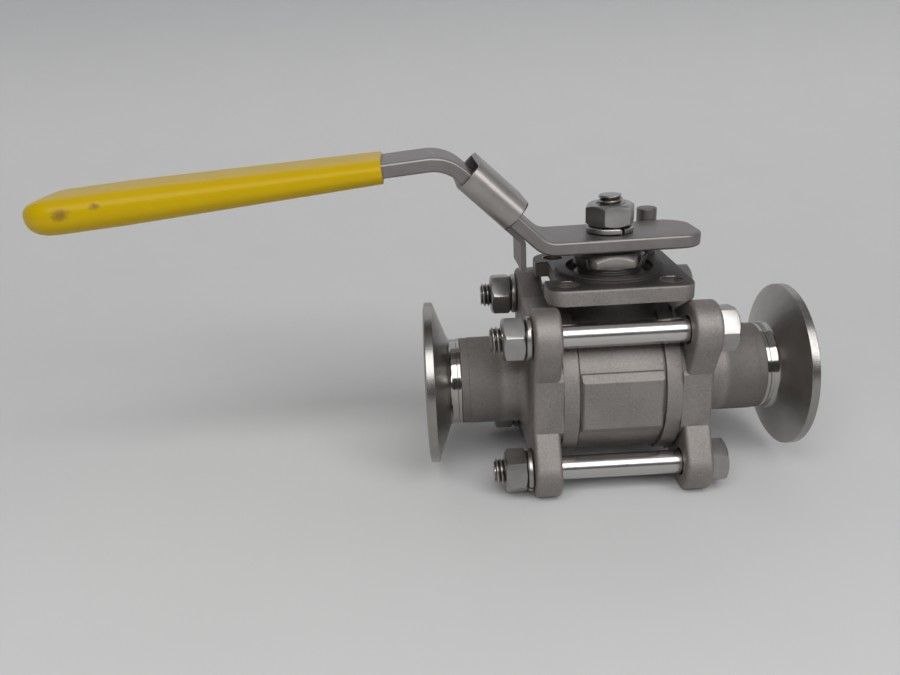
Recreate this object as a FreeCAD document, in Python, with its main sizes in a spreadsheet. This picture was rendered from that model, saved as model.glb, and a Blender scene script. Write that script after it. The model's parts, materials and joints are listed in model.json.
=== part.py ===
# One inch three piece sanitary ball valve with clamp ferrules and a locking lever.
# Millimetres. Origin at the centre of the ball, +X along the flow, -Y towards the
# front of the valve, +Z up the stem. The valve is drawn open, with the lever along -X.

import FreeCAD, Part
import math
import os
import Sketcher
from types import SimpleNamespace

doc = FreeCAD.newDocument("SanitaryBallValve")

# Driving dimensions. Lengths are in millimetres, angles in degrees, and a place is
# measured from the origin unless its comment says otherwise.
DIMENSIONS = {
    # Flow passage and the clamp ferrules on both ends
    "face_to_face": 114.3,
    "bore_radius": 11.05,
    "ferrule_radius": 25.25,
    "ferrule_rim": 2.87,
    "ferrule_cone_angle": 20.0,
    "ferrule_stub_radius": 13.2,
    "ferrule_stub_run": 3.6,
    "ferrule_root_fillet": 1.6,
    "gasket_groove_radius": 1.5,
    "gasket_groove_place": 21.8,
    "weld_bead_height": 0.35,
    "weld_bead_width": 1.6,
    # End caps
    "cap_flange_thickness": 9.0,
    "cap_flat_drop": 0.4,
    "ear_foot": 13.0,
    "ear_set_back": 1.0,
    "ear_radius": 8.4,
    "ear_edge_radius": 1.3,
    "neck_radius": 13.55,
    "neck_fillet": 3.0,
    "weld_band": 2.4,
    "weld_band_step": 0.15,
    "spigot_wall": 2.3,
    "spigot_length": 1.5,
    # Bolts through the ears
    "bolt_gap": 2.25,
    "bolt_shank_radius": 3.55,
    "bolt_thread_radius": 3.9,
    "bolt_thread_length": 17.5,
    "bolt_hole_clearance": 0.3,
    "bolt_head_height": 5.3,
    "bolt_point_gap": 3.3,
    "bolt_across_flats": 12.0,
    "bolt_nut_height": 6.5,
    "bolt_washer_thickness": 2.0,
    "bolt_washer_radius": 6.4,
    "washer_split": 0.7,
    "thread_play": 0.06,
    "thread_point": 0.7,
    "hexagon_chamfer_share": 0.95,
    "hexagon_chamfer_angle": 30.0,
    # Angle to which each bolt's head and nut were tightened
    "front_top_head_turn": 54.3,
    "front_top_nut_turn": 38.8,
    "front_bottom_head_turn": 24.5,
    "front_bottom_nut_turn": 16.9,
    "rear_top_head_turn": 31.0,
    "rear_top_nut_turn": 50.1,
    "rear_bottom_head_turn": 12.0,
    "rear_bottom_nut_turn": 43.0,
    "split_turn": 100.0,
    # How far a cut runs past the solid, and how far joined features lap
    "overlap": 1.0,
    # Centre body
    "body_half_length": 17.2,
    "barrel_radius": 23.2,
    "band_height": 1.0,
    "band_width": 4.5,
    "parting_groove": 0.5,
    "parting_groove_depth": 0.5,
    "plate_half_height": 9.3,
    "plate_bevel": 2.0,
    "plate_end_bevel": 0.6,
    "plate_end_gap": 0.3,
    "body_wall": 2.7,
    "seal_seat_step": 2.3,
    "seal_seat_depth": 3.0,
    "cavity_play": 0.7,
    # Neck and actuator pad
    "neck_post_radius": 15.0,
    "neck_post_fillet": 2.0,
    "pad_rise": 6.6,
    "pad_thickness": 4.7,
    "pad_corner": 5.0,
    "pad_edge": 0.8,
    "notch_half_width": 10.0,
    "notch_depth": 4.0,
    "pad_hole_radius": 3.15,
    "pad_hole_margin": 6.15,
    "stop_pin_clearance": 0.75,
    "ring_outer": 16.0,
    "ring_inner": 13.0,
    "ring_height": 1.0,
    "recess_depth": 2.5,
    "boss_radius": 10.4,
    "boss_drop": 0.9,
    # Ball, seats and seals
    "seat_play": 0.1,
    "ring_play": 0.1,
    "seat_lip": 2.1,
    "seat_sink": 1.5,
    "slot_depth": 5.0,
    "slot_play": 0.1,
    # Stem, its washer, packing and gland
    "tang_thickness": 5.4,
    "tang_width": 12.0,
    "tang_lift": 0.2,
    "collar_gap": 0.4,
    "collar_height": 3.0,
    "collar_radius": 8.0,
    "shaft_radius": 6.0,
    "stem_play": 0.05,
    "stem_bore_play": 0.1,
    "washer_height": 1.2,
    "throat_height": 2.4,
    "chamber_radius": 8.6,
    "packing_height": 2.33,
    "packing_peak": 0.7,
    "gland_height": 2.7,
    "disc_spring_radius": 9.5,
    "disc_spring_thickness": 0.7,
    "disc_spring_cone": 0.25,
    "tab_washer_radius": 9.6,
    "tab_washer_thickness": 0.6,
    "tab_width": 5.0,
    "tab_gap": 0.15,
    "tab_rise": 3.6,
    "tab_lean_angle": 16.0,
    "tab_turn": -30.0,
    "tab_spread_angle": 240.0,
    "gland_nut_height": 3.9,
    "gland_nut_across_flats": 19.0,
    # Lever
    "stem_square": 9.0,
    "stem_square_height": 3.6,
    "lever_square": 9.4,
    "lever_turn": 2.2,
    "lever_gap": 1.3,
    "lever_thickness": 4.0,
    "lever_width": 22.0,
    "lever_tail": 25.7,
    "lever_tail_corner": 6.5,
    "lever_first_bend": 19.85,
    "lever_slope_angle": 44.0,
    "lever_second_bend": 47.17,
    "lever_droop_angle": 4.5,
    "first_bend_radius": 6.0,
    "second_bend_radius": 10.0,
    "lever_edge_radius": 0.8,
    # Grip
    "grip_start": 66.0,
    "grip_end": 166.2,
    "grip_mouth_wall": 1.15,
    "grip_wall": 2.3,
    "grip_mouth_side": 1.2,
    "grip_side": 2.0,
    "grip_full": 141.0,
    "grip_edge_flat": 0.15,
    "grip_tip_flat": 1.0,
    "grip_nose": 8.7,
    # Locking sleeve on the lever's slope
    "sleeve_start": 12.3,
    "sleeve_length": 17.7,
    "sleeve_width": 25.6,
    "sleeve_height": 10.0,
    "sleeve_wall": 1.5,
    "sleeve_corner": 4.0,
    "sleeve_inner_corner": 1.0,
    "sleeve_under_play": 0.15,
    "tongue_width": 16.0,
    "tongue_place": 26.3,
    "tongue_gap": 3.0,
    "tongue_lap": 3.0,
    "tongue_bend_radius": 1.5,
    # Handle nut and its spring washer
    "handle_thread_radius": 4.0,
    "stem_proud": 2.4,
    "stem_point": 1.1,
    "handle_nut_across_flats": 13.0,
    "handle_nut_height": 6.5,
    "handle_nut_turn": 56.7,
    "handle_washer_radius": 7.3,
    "handle_washer_thickness": 2.0,
    "handle_washer_turn": -71.6,
    # Stop pin in one pad hole
    "stop_pin_height": 14.7,
    "stop_pin_point": 0.9,
    "stop_pin_play": 0.05,
}


class Size:
    """A dimension: its present value and the sheet expression that gives it."""

    def __init__(self, value, text):
        self.value = value
        self.text = text

    def __add__(self, other):
        other = as_size(other)
        return Size(self.value + other.value, "(%s + %s)" % (self.text, other.text))

    def __sub__(self, other):
        other = as_size(other)
        return Size(self.value - other.value, "(%s - %s)" % (self.text, other.text))

    def __mul__(self, other):
        other = as_size(other)
        return Size(self.value * other.value, "(%s * %s)" % (self.text, other.text))

    def __truediv__(self, other):
        other = as_size(other)
        return Size(self.value / other.value, "(%s / %s)" % (self.text, other.text))

    def __neg__(self):
        return Size(-self.value, "(0 - %s)" % self.text)


def as_size(number):
    """Wrap a bare number, and leave a Size as it is."""
    if isinstance(number, Size):
        return number
    return Size(float(number), repr(float(number)))


def sine(angle):
    return Size(math.sin(math.radians(angle.value)), "sin(%s * 1 deg)" % angle.text)


def cosine(angle):
    return Size(math.cos(math.radians(angle.value)), "cos(%s * 1 deg)" % angle.text)


def tangent(angle):
    return Size(math.tan(math.radians(angle.value)), "tan(%s * 1 deg)" % angle.text)


def root(size):
    return Size(math.sqrt(size.value), "sqrt(%s)" % size.text)


def fill_sheet():
    """Enter the driving dimensions in the sheet and return them as Sizes."""
    sheet = doc.addObject("Spreadsheet::Sheet", "Dim")
    sizes = SimpleNamespace()
    for row, (alias, value) in enumerate(DIMENSIONS.items(), start=1):
        sheet.set("A%d" % row, alias)
        sheet.set("B%d" % row, str(value))
        sheet.setAlias("B%d" % row, alias)
        setattr(sizes, alias, Size(value, "Dim." + alias))
    doc.recompute()
    return sizes


dim = fill_sheet()

# Places worked out once and shared by the pieces that meet there
half_face = dim.face_to_face / 2
cone_run = (dim.ferrule_radius - dim.ferrule_stub_radius) * tangent(dim.ferrule_cone_angle)
weld_place = half_face - dim.ferrule_rim - cone_run - dim.ferrule_stub_run
flange_back = dim.body_half_length + dim.cap_flange_thickness
band_radius = dim.barrel_radius + dim.band_height
cap_flat_radius = band_radius - dim.cap_flat_drop
bolt_place = (band_radius + dim.bolt_gap + dim.bolt_shank_radius) / math.sqrt(2)
cap_flat_half_width = bolt_place - dim.ear_foot
nut_place = flange_back + dim.bolt_washer_thickness
bolt_end = nut_place + dim.bolt_nut_height + dim.bolt_point_gap
seal_seat_radius = dim.barrel_radius - dim.body_wall
cavity_radius = seal_seat_radius - dim.seal_seat_step
ball_radius = cavity_radius - dim.cavity_play
seat_pocket = seal_seat_radius - dim.ring_play * 2 - dim.spigot_wall
seat_back = dim.body_half_length + dim.seat_sink
seat_front = root(ball_radius * ball_radius - dim.bore_radius * dim.bore_radius) - dim.seat_lip
slot_floor = ball_radius - dim.slot_depth
pad_bottom = dim.barrel_radius + dim.pad_rise
pad_top = pad_bottom + dim.pad_thickness
stop_pin_radius = dim.pad_hole_radius - dim.stop_pin_play
pad_hole_place = dim.lever_width / 2 + stop_pin_radius + dim.stop_pin_clearance
pad_half_width = pad_hole_place + dim.pad_hole_margin
recess_floor = pad_top - dim.recess_depth
boss_top = pad_top - dim.boss_drop
collar_bottom = ball_radius + dim.collar_gap
collar_top = collar_bottom + dim.collar_height
pocket_top = collar_top + dim.washer_height
chamber_floor = pocket_top + dim.throat_height
packing_top = chamber_floor + dim.packing_height * 3
gland_top = packing_top + dim.gland_height
spring_height = dim.disc_spring_thickness + dim.disc_spring_cone
springs_top = gland_top + spring_height * 2
gland_nut_bottom = springs_top + dim.tab_washer_thickness
lever_bottom = gland_nut_bottom + dim.gland_nut_height + dim.lever_gap
lever_top = lever_bottom + dim.lever_thickness
handle_nut_bottom = lever_top + dim.handle_washer_thickness
stem_top = handle_nut_bottom + dim.handle_nut_height + dim.stem_proud
lever_heading = dim.lever_turn + 180.0
lever_end = dim.grip_end - dim.grip_nose
slope_rise = (dim.lever_second_bend - dim.lever_first_bend) * tangent(dim.lever_slope_angle)
second_bend_top = lever_top + slope_rise


def origin_feature(body, role):
    """Give one of a body's own planes or axes."""
    return [part for part in body.Origin.OriginFeatures if part.Role == role][0]


def new_body(label, placement=None):
    """Start a sub-part; placement is an expression for where it stands."""
    body = doc.addObject("PartDesign::Body", label)
    body.Label = label
    if placement:
        body.setExpression("Placement", placement)
    return body


def standing(place, turn):
    """Placement expression from a place and a yaw, pitch and roll."""
    spot = "; ".join(as_size(part).text for part in place)
    angles = "; ".join(as_size(part).text for part in turn)
    return "placement(vector(%s); rotation(%s))" % (spot, angles)


def new_sketch(body, name, plane, offset=None):
    """Start a sketch on a body's own plane, moved along the plane's normal."""
    sketch = body.newObject("Sketcher::SketchObject", name)
    sketch.AttachmentSupport = [(origin_feature(body, plane), "")]
    sketch.MapMode = "FlatFace"
    if offset is not None:
        sketch.setExpression("AttachmentOffset.Base.z", as_size(offset).text)
    return sketch


def fix_coordinate(sketch, kind, geometry, corner, size):
    """Hold one coordinate of a point at its distance from the origin."""
    size = as_size(size)
    if size.value == 0:
        line = -2 if kind == "DistanceX" else -1
        sketch.addConstraint(Sketcher.Constraint("PointOnObject", geometry, corner, line))
        return
    if size.value > 0:
        link = Sketcher.Constraint(kind, -1, 1, geometry, corner, size.value)
    else:
        size = -size
        link = Sketcher.Constraint(kind, geometry, corner, -1, 1, size.value)
    index = sketch.addConstraint(link)
    sketch.setExpression("Constraints[%d]" % index, size.text)


def fix_point(sketch, geometry, corner, point):
    fix_coordinate(sketch, "DistanceX", geometry, corner, point[0])
    fix_coordinate(sketch, "DistanceY", geometry, corner, point[1])


def vector_of(point):
    return FreeCAD.Vector(as_size(point[0]).value, as_size(point[1]).value, 0)


def draw_polygon(sketch, points):
    """Draw a closed outline and bind every corner to the sheet."""
    first = sketch.GeometryCount
    count = len(points)
    for index, point in enumerate(points):
        ahead = points[(index + 1) % count]
        sketch.addGeometry(Part.LineSegment(vector_of(point), vector_of(ahead)), False)
    for index in range(count):
        link = ("Coincident", first + index, 2, first + (index + 1) % count, 1)
        sketch.addConstraint(Sketcher.Constraint(*link))
    for index, point in enumerate(points):
        fix_point(sketch, first + index, 1, point)


def draw_rectangle(sketch, half_width, half_height):
    draw_polygon(sketch, [(-half_width, -half_height), (half_width, -half_height),
                          (half_width, half_height), (-half_width, half_height)])


def draw_circle(sketch, centre, radius):
    radius = as_size(radius)
    circle = Part.Circle(vector_of(centre), FreeCAD.Vector(0, 0, 1), radius.value)
    geometry = sketch.addGeometry(circle, False)
    if as_size(centre[0]).value == 0 and as_size(centre[1]).value == 0:
        sketch.addConstraint(Sketcher.Constraint("Coincident", geometry, 3, -1, 1))
    else:
        fix_point(sketch, geometry, 3, centre)
    index = sketch.addConstraint(Sketcher.Constraint("Radius", geometry, radius.value))
    sketch.setExpression("Constraints[%d]" % index, radius.text)


def extrude(body, name, sketch, length, cut=False, both_ways=False, backwards=False):
    """Pad or pocket a sketch; a length of None cuts through everything both ways."""
    feature = body.newObject("PartDesign::Pocket" if cut else "PartDesign::Pad", name)
    feature.Profile = sketch
    if length is None:
        feature.Type = "ThroughAll"
        feature.SideType = "Symmetric"
    else:
        feature.setExpression("Length", as_size(length).text)
        feature.Reversed = backwards
        if both_ways:
            feature.SideType = "Symmetric"
    return feature


def turn(body, name, axis, points, cut=False):
    """Revolve a half section of (place along the axis, radius) points."""
    if axis == "Z":
        points = [(radius, place) for place, radius in points]
    sketch = new_sketch(body, name + "_section", "XZ_Plane")
    draw_polygon(sketch, points)
    kind = "PartDesign::Groove" if cut else "PartDesign::Revolution"
    feature = body.newObject(kind, name)
    feature.Profile = sketch
    feature.ReferenceAxis = (sketch, ["V_Axis" if axis == "Z" else "H_Axis"])
    feature.Angle = 360
    return feature


def round_edges(body, name, radius, wanted):
    """Fillet the edges of the solid so far that the test picks."""
    doc.recompute()
    solid = body.Tip
    names = []
    for index, edge in enumerate(solid.Shape.Edges, start=1):
        if wanted(edge):
            names.append("Edge%d" % index)
    if not names:
        raise RuntimeError("%s finds no edge to round" % name)
    feature = body.newObject("PartDesign::Fillet", name)
    feature.Base = (solid, names)
    feature.setExpression("Radius", as_size(radius).text)
    return feature


def middle_of(edge):
    low, high = edge.ParameterRange
    return edge.valueAt((low + high) / 2)


def near(number, size):
    """True where a coordinate lies at a size, within a small part of a millimetre."""
    return abs(number - as_size(size).value) < 0.001


def stays_at(edge, coordinate, size):
    """True where a whole edge lies in the plane at a size along one coordinate."""
    points = [vertex.Point for vertex in edge.Vertexes] + [middle_of(edge)]
    return all(near(getattr(point, coordinate), size) for point in points)


def four_times(body, name, feature):
    """Repeat a feature at every quarter turn about the flow axis."""
    pattern = body.newObject("PartDesign::PolarPattern", name)
    pattern.Originals = [feature]
    pattern.Axis = (origin_feature(body, "X_Axis"), [""])
    pattern.Angle = 360
    pattern.Occurrences = 4
    body.Tip = pattern
    return pattern


def square_ring(places):
    """The four corners of a square pattern."""
    return [(x * places, y * places)
            for x, y in ((as_size(1), as_size(1)), (as_size(-1), as_size(1)),
                         (as_size(-1), as_size(-1)), (as_size(1), as_size(-1)))]


# Centre body

def make_centre_body():
    """Barrel with front and rear plates, a neck and the square actuator pad."""
    body = new_body("centre_body")
    half = dim.body_half_length
    band = half - dim.band_width
    step = band - dim.parting_groove
    groove_radius = dim.barrel_radius - dim.parting_groove_depth
    turn(body, "barrel", "X", [
        (-half, 0), (-half, band_radius), (-band, band_radius),
        (-band, groove_radius), (-step, groove_radius), (-step, dim.barrel_radius),
        (step, dim.barrel_radius), (step, groove_radius), (band, groove_radius),
        (band, band_radius), (half, band_radius), (half, 0)])
    add_side_plates(body, step - dim.plate_end_gap)
    add_actuator_pad(body)
    cut_ball_cavity(body)
    cut_stem_passage(body)
    return body


def add_side_plates(body, half_length):
    """Flat plates on the front and rear of the barrel, bevelled all round."""
    face = band_radius
    edge = dim.plate_half_height
    flat = edge - dim.plate_bevel
    side = face - dim.plate_bevel
    sketch = new_sketch(body, "plate_section", "YZ_Plane")
    draw_polygon(sketch, [
        (face, -flat), (face, flat), (side, edge), (-side, edge),
        (-face, flat), (-face, -flat), (-side, -edge), (side, -edge)])
    extrude(body, "side_plates", sketch, half_length * 2, both_ways=True)
    doc.recompute()
    plates = body.Tip
    names = []
    for index, rim in enumerate(plates.Shape.Edges, start=1):
        middle = middle_of(rim)
        at_end = near(abs(middle.x), half_length)
        if at_end and near(abs(middle.y), face) and near(middle.z, 0):
            names.append("Edge%d" % index)
    bevel = body.newObject("PartDesign::Chamfer", "plate_end_bevels")
    bevel.Base = (plates, names)
    bevel.setExpression("Size", dim.plate_end_bevel.text)


def add_actuator_pad(body):
    """Neck, notched square pad and the raised ring round the gland."""
    neck = new_sketch(body, "neck_circle", "XY_Plane")
    draw_circle(neck, (0, 0), dim.neck_post_radius)
    extrude(body, "neck", neck, pad_bottom + dim.pad_edge)
    pad = new_sketch(body, "pad_square", "XY_Plane", pad_bottom)
    half = pad_half_width
    draw_rectangle(pad, half, half)
    extrude(body, "pad", pad, pad_top - pad_bottom)
    round_edges(body, "pad_corners", dim.pad_corner, lambda edge: (
        near(abs(middle_of(edge).x), half) and near(abs(middle_of(edge).y), half)))
    round_edges(body, "pad_edges", dim.pad_edge, lambda edge: (
        stays_at(edge, "z", pad_top)))
    round_edges(body, "neck_root", dim.neck_post_fillet, lambda edge: (
        stays_at(edge, "z", pad_bottom) and edge.Curve.TypeId == "Part::GeomCircle"
        and near(edge.Curve.Radius, dim.neck_post_radius)))
    depth = half - dim.notch_depth
    wide = dim.notch_half_width
    notches = new_sketch(body, "notch_outline", "XY_Plane", pad_bottom - dim.pad_edge)
    draw_polygon(notches, [(-half * 2, -wide), (-depth, -wide), (-depth, wide), (-half * 2, wide)])
    draw_polygon(notches, [(-wide, depth), (wide, depth), (wide, half * 2), (-wide, half * 2)])
    extrude(body, "notches", notches, pad_top, cut=True, backwards=True)
    ring = new_sketch(body, "ring_circle", "XY_Plane", recess_floor)
    draw_circle(ring, (0, 0), dim.ring_outer)
    extrude(body, "ring", ring, dim.recess_depth + dim.ring_height)
    holes = new_sketch(body, "pad_hole_circles", "XY_Plane", pad_top)
    for place in square_ring(pad_hole_place):
        draw_circle(holes, place, dim.pad_hole_radius)
    extrude(body, "pad_holes", holes, pad_top - pad_bottom + dim.pad_edge, cut=True)


def cut_ball_cavity(body):
    """Passage for the ball, with a wider seat for a seal at each end."""
    half = dim.body_half_length
    seat = half - dim.seal_seat_depth
    turn(body, "ball_cavity", "X", [
        (-half, 0), (-half, seal_seat_radius), (-seat, seal_seat_radius),
        (-seat, cavity_radius), (seat, cavity_radius), (seat, seal_seat_radius),
        (half, seal_seat_radius), (half, 0)], cut=True)


def cut_stem_passage(body):
    """Collar pocket, stem bore, packing chamber and the recess inside the ring."""
    pocket = dim.collar_radius + dim.stem_bore_play * 2
    throat = dim.shaft_radius + dim.stem_bore_play
    above = pad_top + dim.ring_height * 2
    turn(body, "stem_passage", "Z", [
        (0, 0), (0, pocket), (pocket_top, pocket), (pocket_top, throat),
        (chamber_floor, throat), (chamber_floor, dim.chamber_radius),
        (boss_top, dim.chamber_radius), (boss_top, dim.boss_radius),
        (recess_floor, dim.boss_radius), (recess_floor, dim.ring_inner),
        (above, dim.ring_inner), (above, 0)], cut=True)


# End caps and ferrules

def make_end_cap(label, heading):
    """Flange with four bolt ears, a spigot into the body and a neck to the ferrule."""
    body = new_body(label, standing((0, 0, 0), (heading, 0, 0)))
    face = dim.body_half_length
    flat = cap_flat_radius
    wide = cap_flat_half_width
    flange = new_sketch(body, "flange_outline", "YZ_Plane", face)
    draw_polygon(flange, [
        (flat, -wide), (flat, wide), (wide, flat), (-wide, flat),
        (-flat, wide), (-flat, -wide), (-wide, -flat), (wide, -flat)])
    extrude(body, "flange", flange, dim.cap_flange_thickness)
    ear = new_sketch(body, "ear_outline", "YZ_Plane", face + dim.ear_set_back)
    draw_ear(ear)
    ear_pad = extrude(body, "ear", ear, dim.cap_flange_thickness - dim.ear_set_back)
    four_times(body, "ears", ear_pad)
    outside = cap_flat_radius - dim.overlap
    for name, place in (("ear_fronts", face + dim.ear_set_back), ("ear_backs", flange_back)):
        round_edges(body, name, dim.ear_edge_radius, lambda edge: (
            stays_at(edge, "x", place)
            and math.hypot(middle_of(edge).y, middle_of(edge).z) > outside.value))
    band = weld_place - dim.weld_band
    turn(body, "neck", "X", [
        (face - dim.spigot_length, 0),
        (face - dim.spigot_length, seat_pocket + dim.spigot_wall),
        (flange_back - dim.overlap, seat_pocket + dim.spigot_wall),
        (flange_back - dim.overlap, dim.neck_radius),
        (band, dim.neck_radius), (band, dim.neck_radius - dim.weld_band_step),
        (weld_place, dim.neck_radius - dim.weld_band_step), (weld_place, 0)])
    round_edges(body, "neck_fillet", dim.neck_fillet, lambda edge: (
        stays_at(edge, "x", flange_back) and edge.Curve.TypeId == "Part::GeomCircle"
        and near(edge.Curve.Radius, dim.neck_radius)))
    turn(body, "passage", "X", [
        (face - dim.spigot_length, 0), (face - dim.spigot_length, seat_pocket),
        (seat_back, seat_pocket), (seat_back, dim.bore_radius),
        (weld_place, dim.bore_radius), (weld_place, 0)], cut=True)
    hole = new_sketch(body, "bolt_hole_circle", "YZ_Plane", flange_back)
    hole_radius = dim.bolt_thread_radius + dim.bolt_hole_clearance
    draw_circle(hole, (bolt_place, bolt_place), hole_radius)
    bolt_hole = extrude(body, "bolt_hole", hole, dim.cap_flange_thickness, cut=True)
    four_times(body, "bolt_holes", bolt_hole)
    return body


def draw_ear(sketch):
    """A bolt ear: an arc about the bolt, tangent to two lines from the flats' ends."""
    flat = cap_flat_radius
    wide = cap_flat_half_width
    bolt = bolt_place
    low = vector_of((flat, wide))
    high = vector_of((wide, flat))
    centre = vector_of((bolt, bolt))
    reach = centre - low
    spread = math.asin(dim.ear_radius.value / reach.Length)
    run = math.sqrt(reach.Length ** 2 - dim.ear_radius.value ** 2)
    heading = math.atan2(reach.y, reach.x) - spread
    start = low + FreeCAD.Vector(math.cos(heading), math.sin(heading), 0) * run
    end = FreeCAD.Vector(start.y, start.x, 0)
    arc = Part.Arc(start, centre + FreeCAD.Vector(1, 1, 0).normalize() * dim.ear_radius.value, end)
    sketch.addGeometry(Part.LineSegment(low, start), False)
    sketch.addGeometry(arc, False)
    sketch.addGeometry(Part.LineSegment(end, high), False)
    sketch.addGeometry(Part.LineSegment(high, low), False)
    sketch.addConstraint(Sketcher.Constraint("Tangent", 0, 2, 1, 1))
    sketch.addConstraint(Sketcher.Constraint("Tangent", 1, 2, 2, 1))
    sketch.addConstraint(Sketcher.Constraint("Coincident", 2, 2, 3, 1))
    sketch.addConstraint(Sketcher.Constraint("Coincident", 3, 2, 0, 1))
    fix_point(sketch, 0, 1, (flat, wide))
    fix_point(sketch, 3, 1, (wide, flat))
    fix_point(sketch, 1, 3, (bolt, bolt))
    index = sketch.addConstraint(Sketcher.Constraint("Radius", 1, dim.ear_radius.value))
    sketch.setExpression("Constraints[%d]" % index, dim.ear_radius.text)


def make_ferrule(label, heading):
    """Clamp ferrule: stub, cone, rim, and the half round gasket groove in its face."""
    body = new_body(label, standing((0, 0, 0), (heading, 0, 0)))
    rim = half_face - dim.ferrule_rim
    stub = dim.ferrule_stub_radius
    bead = dim.weld_bead_width
    turn(body, "ferrule", "X", [
        (weld_place, dim.bore_radius), (weld_place, stub),
        (weld_place + bead / 4, stub + dim.weld_bead_height),
        (weld_place + bead * 3 / 4, stub + dim.weld_bead_height), (weld_place + bead, stub),
        (rim - cone_run, stub), (rim, dim.ferrule_radius), (half_face, dim.ferrule_radius),
        (half_face, dim.bore_radius)])
    round_edges(body, "root_fillet", dim.ferrule_root_fillet, lambda edge: (
        stays_at(edge, "x", rim - cone_run)
        and edge.Curve.TypeId == "Part::GeomCircle" and near(edge.Curve.Radius, stub)))
    groove = body.newObject("PartDesign::SubtractiveTorus", "gasket_groove")
    groove.setExpression("Radius1", dim.gasket_groove_place.text)
    groove.setExpression("Radius2", dim.gasket_groove_radius.text)
    groove.AttachmentSupport = [(origin_feature(body, "YZ_Plane"), "")]
    groove.MapMode = "FlatFace"
    groove.setExpression("AttachmentOffset.Base.z", half_face.text)
    return body


# Ball, seats and seals

def make_ball():
    """Ball with its passage and the open slot across its top for the stem's tang."""
    body = new_body("ball")
    ball = body.newObject("PartDesign::AdditiveSphere", "sphere")
    ball.setExpression("Radius", ball_radius.text)
    bore = new_sketch(body, "bore_circle", "YZ_Plane")
    draw_circle(bore, (0, 0), dim.bore_radius)
    extrude(body, "bore", bore, None, cut=True)
    half_slot = dim.tang_thickness / 2 + dim.slot_play
    slot = new_sketch(body, "slot_section", "XZ_Plane")
    above = ball_radius + dim.overlap
    draw_polygon(slot, [(-half_slot, slot_floor), (half_slot, slot_floor),
                        (half_slot, above), (-half_slot, above)])
    extrude(body, "slot", slot, None, cut=True)
    return body


def make_seat(label, heading):
    """Seat ring with a spherical face against the ball."""
    body = new_body(label, standing((0, 0, 0), (heading, 0, 0)))
    outer = seat_pocket - dim.ring_play
    turn(body, "ring", "X", [
        (seat_front, dim.bore_radius), (seat_front, outer), (seat_back, outer),
        (seat_back, dim.bore_radius)])
    dish = body.newObject("PartDesign::SubtractiveSphere", "dish")
    dish.setExpression("Radius", (ball_radius + dim.seat_play).text)
    return body


def make_ring(label, axis, start, end, inner, outer, heading=0):
    """A plain ring between two places along an axis."""
    body = new_body(label, standing((0, 0, 0), (heading, 0, 0)))
    turn(body, "ring", axis, [(start, inner), (start, outer), (end, outer), (end, inner)])
    return body


def make_body_seal(label, heading):
    """Flat seal between an end cap's spigot and the floor of its seat in the body."""
    start = dim.body_half_length - dim.seal_seat_depth
    end = dim.body_half_length - dim.spigot_length
    inner = cavity_radius + dim.ring_play
    outer = seal_seat_radius - dim.ring_play
    return make_ring(label, "X", start, end, inner, outer, heading)


# Stem, packing and gland

def make_stem():
    """Stem with a tang, a collar that cannot blow out, a square and a thread."""
    body = new_body("stem")
    thread = dim.handle_thread_radius
    turn(body, "spindle", "Z", [
        (collar_bottom, 0), (collar_bottom, dim.collar_radius),
        (collar_top, dim.collar_radius), (collar_top, dim.shaft_radius),
        (lever_bottom, dim.shaft_radius), (lever_bottom, thread),
        (stem_top - dim.stem_point, thread),
        (stem_top, thread - dim.stem_point), (stem_top, 0)])
    flat = dim.stem_square / 2
    corner = root(dim.shaft_radius * dim.shaft_radius - flat * flat)
    square = new_sketch(body, "square_section", "XY_Plane", lever_bottom)
    draw_polygon(square, [
        (flat, -corner), (flat, corner), (corner, flat), (-corner, flat),
        (-flat, corner), (-flat, -corner), (-corner, -flat), (corner, -flat)])
    extrude(body, "square", square, dim.stem_square_height)
    tang_bottom = slot_floor + dim.tang_lift
    tang = new_sketch(body, "tang_section", "XY_Plane", tang_bottom)
    draw_rectangle(tang, dim.tang_thickness / 2, dim.tang_width / 2)
    extrude(body, "tang", tang, collar_top - tang_bottom)
    return body


def make_packing(label, index, nested=True):
    """One ring of the stem packing, peaked above, with a groove below where it nests."""
    start = chamber_floor + dim.packing_height * index
    end = start + dim.packing_height
    inner = dim.shaft_radius + dim.stem_play
    outer = dim.chamber_radius - dim.stem_play
    middle = (inner + outer) / 2
    points = [(start, outer), (end, outer), (end + dim.packing_peak, middle), (end, inner),
              (start, inner)]
    if nested:
        points.append((start + dim.packing_peak, middle))
    body = new_body(label)
    turn(body, "ring", "Z", points)
    return body


def make_gland_ring():
    """Follower that presses the packing, with a groove that nests on its peak."""
    body = new_body("gland_ring")
    inner = dim.shaft_radius + dim.stem_play
    outer = dim.chamber_radius - dim.stem_play
    turn(body, "ring", "Z", [
        (packing_top, inner), (packing_top + dim.packing_peak, (inner + outer) / 2),
        (packing_top, outer), (gland_top, outer), (gland_top, inner)])
    return body


def make_disc_spring(label, start, upward):
    """A coned spring washer; upward is 1 where its inner edge is the lower one."""
    inner = dim.shaft_radius + dim.stem_bore_play * 2
    outer = dim.disc_spring_radius
    thick = dim.disc_spring_thickness
    rise = dim.disc_spring_cone
    low_inner = start + rise * (1 - upward)
    low_outer = start + rise * upward
    body = new_body(label)
    turn(body, "disc", "Z", [
        (low_inner, inner), (low_outer, outer), (low_outer + thick, outer),
        (low_inner + thick, inner)])
    return body


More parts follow.
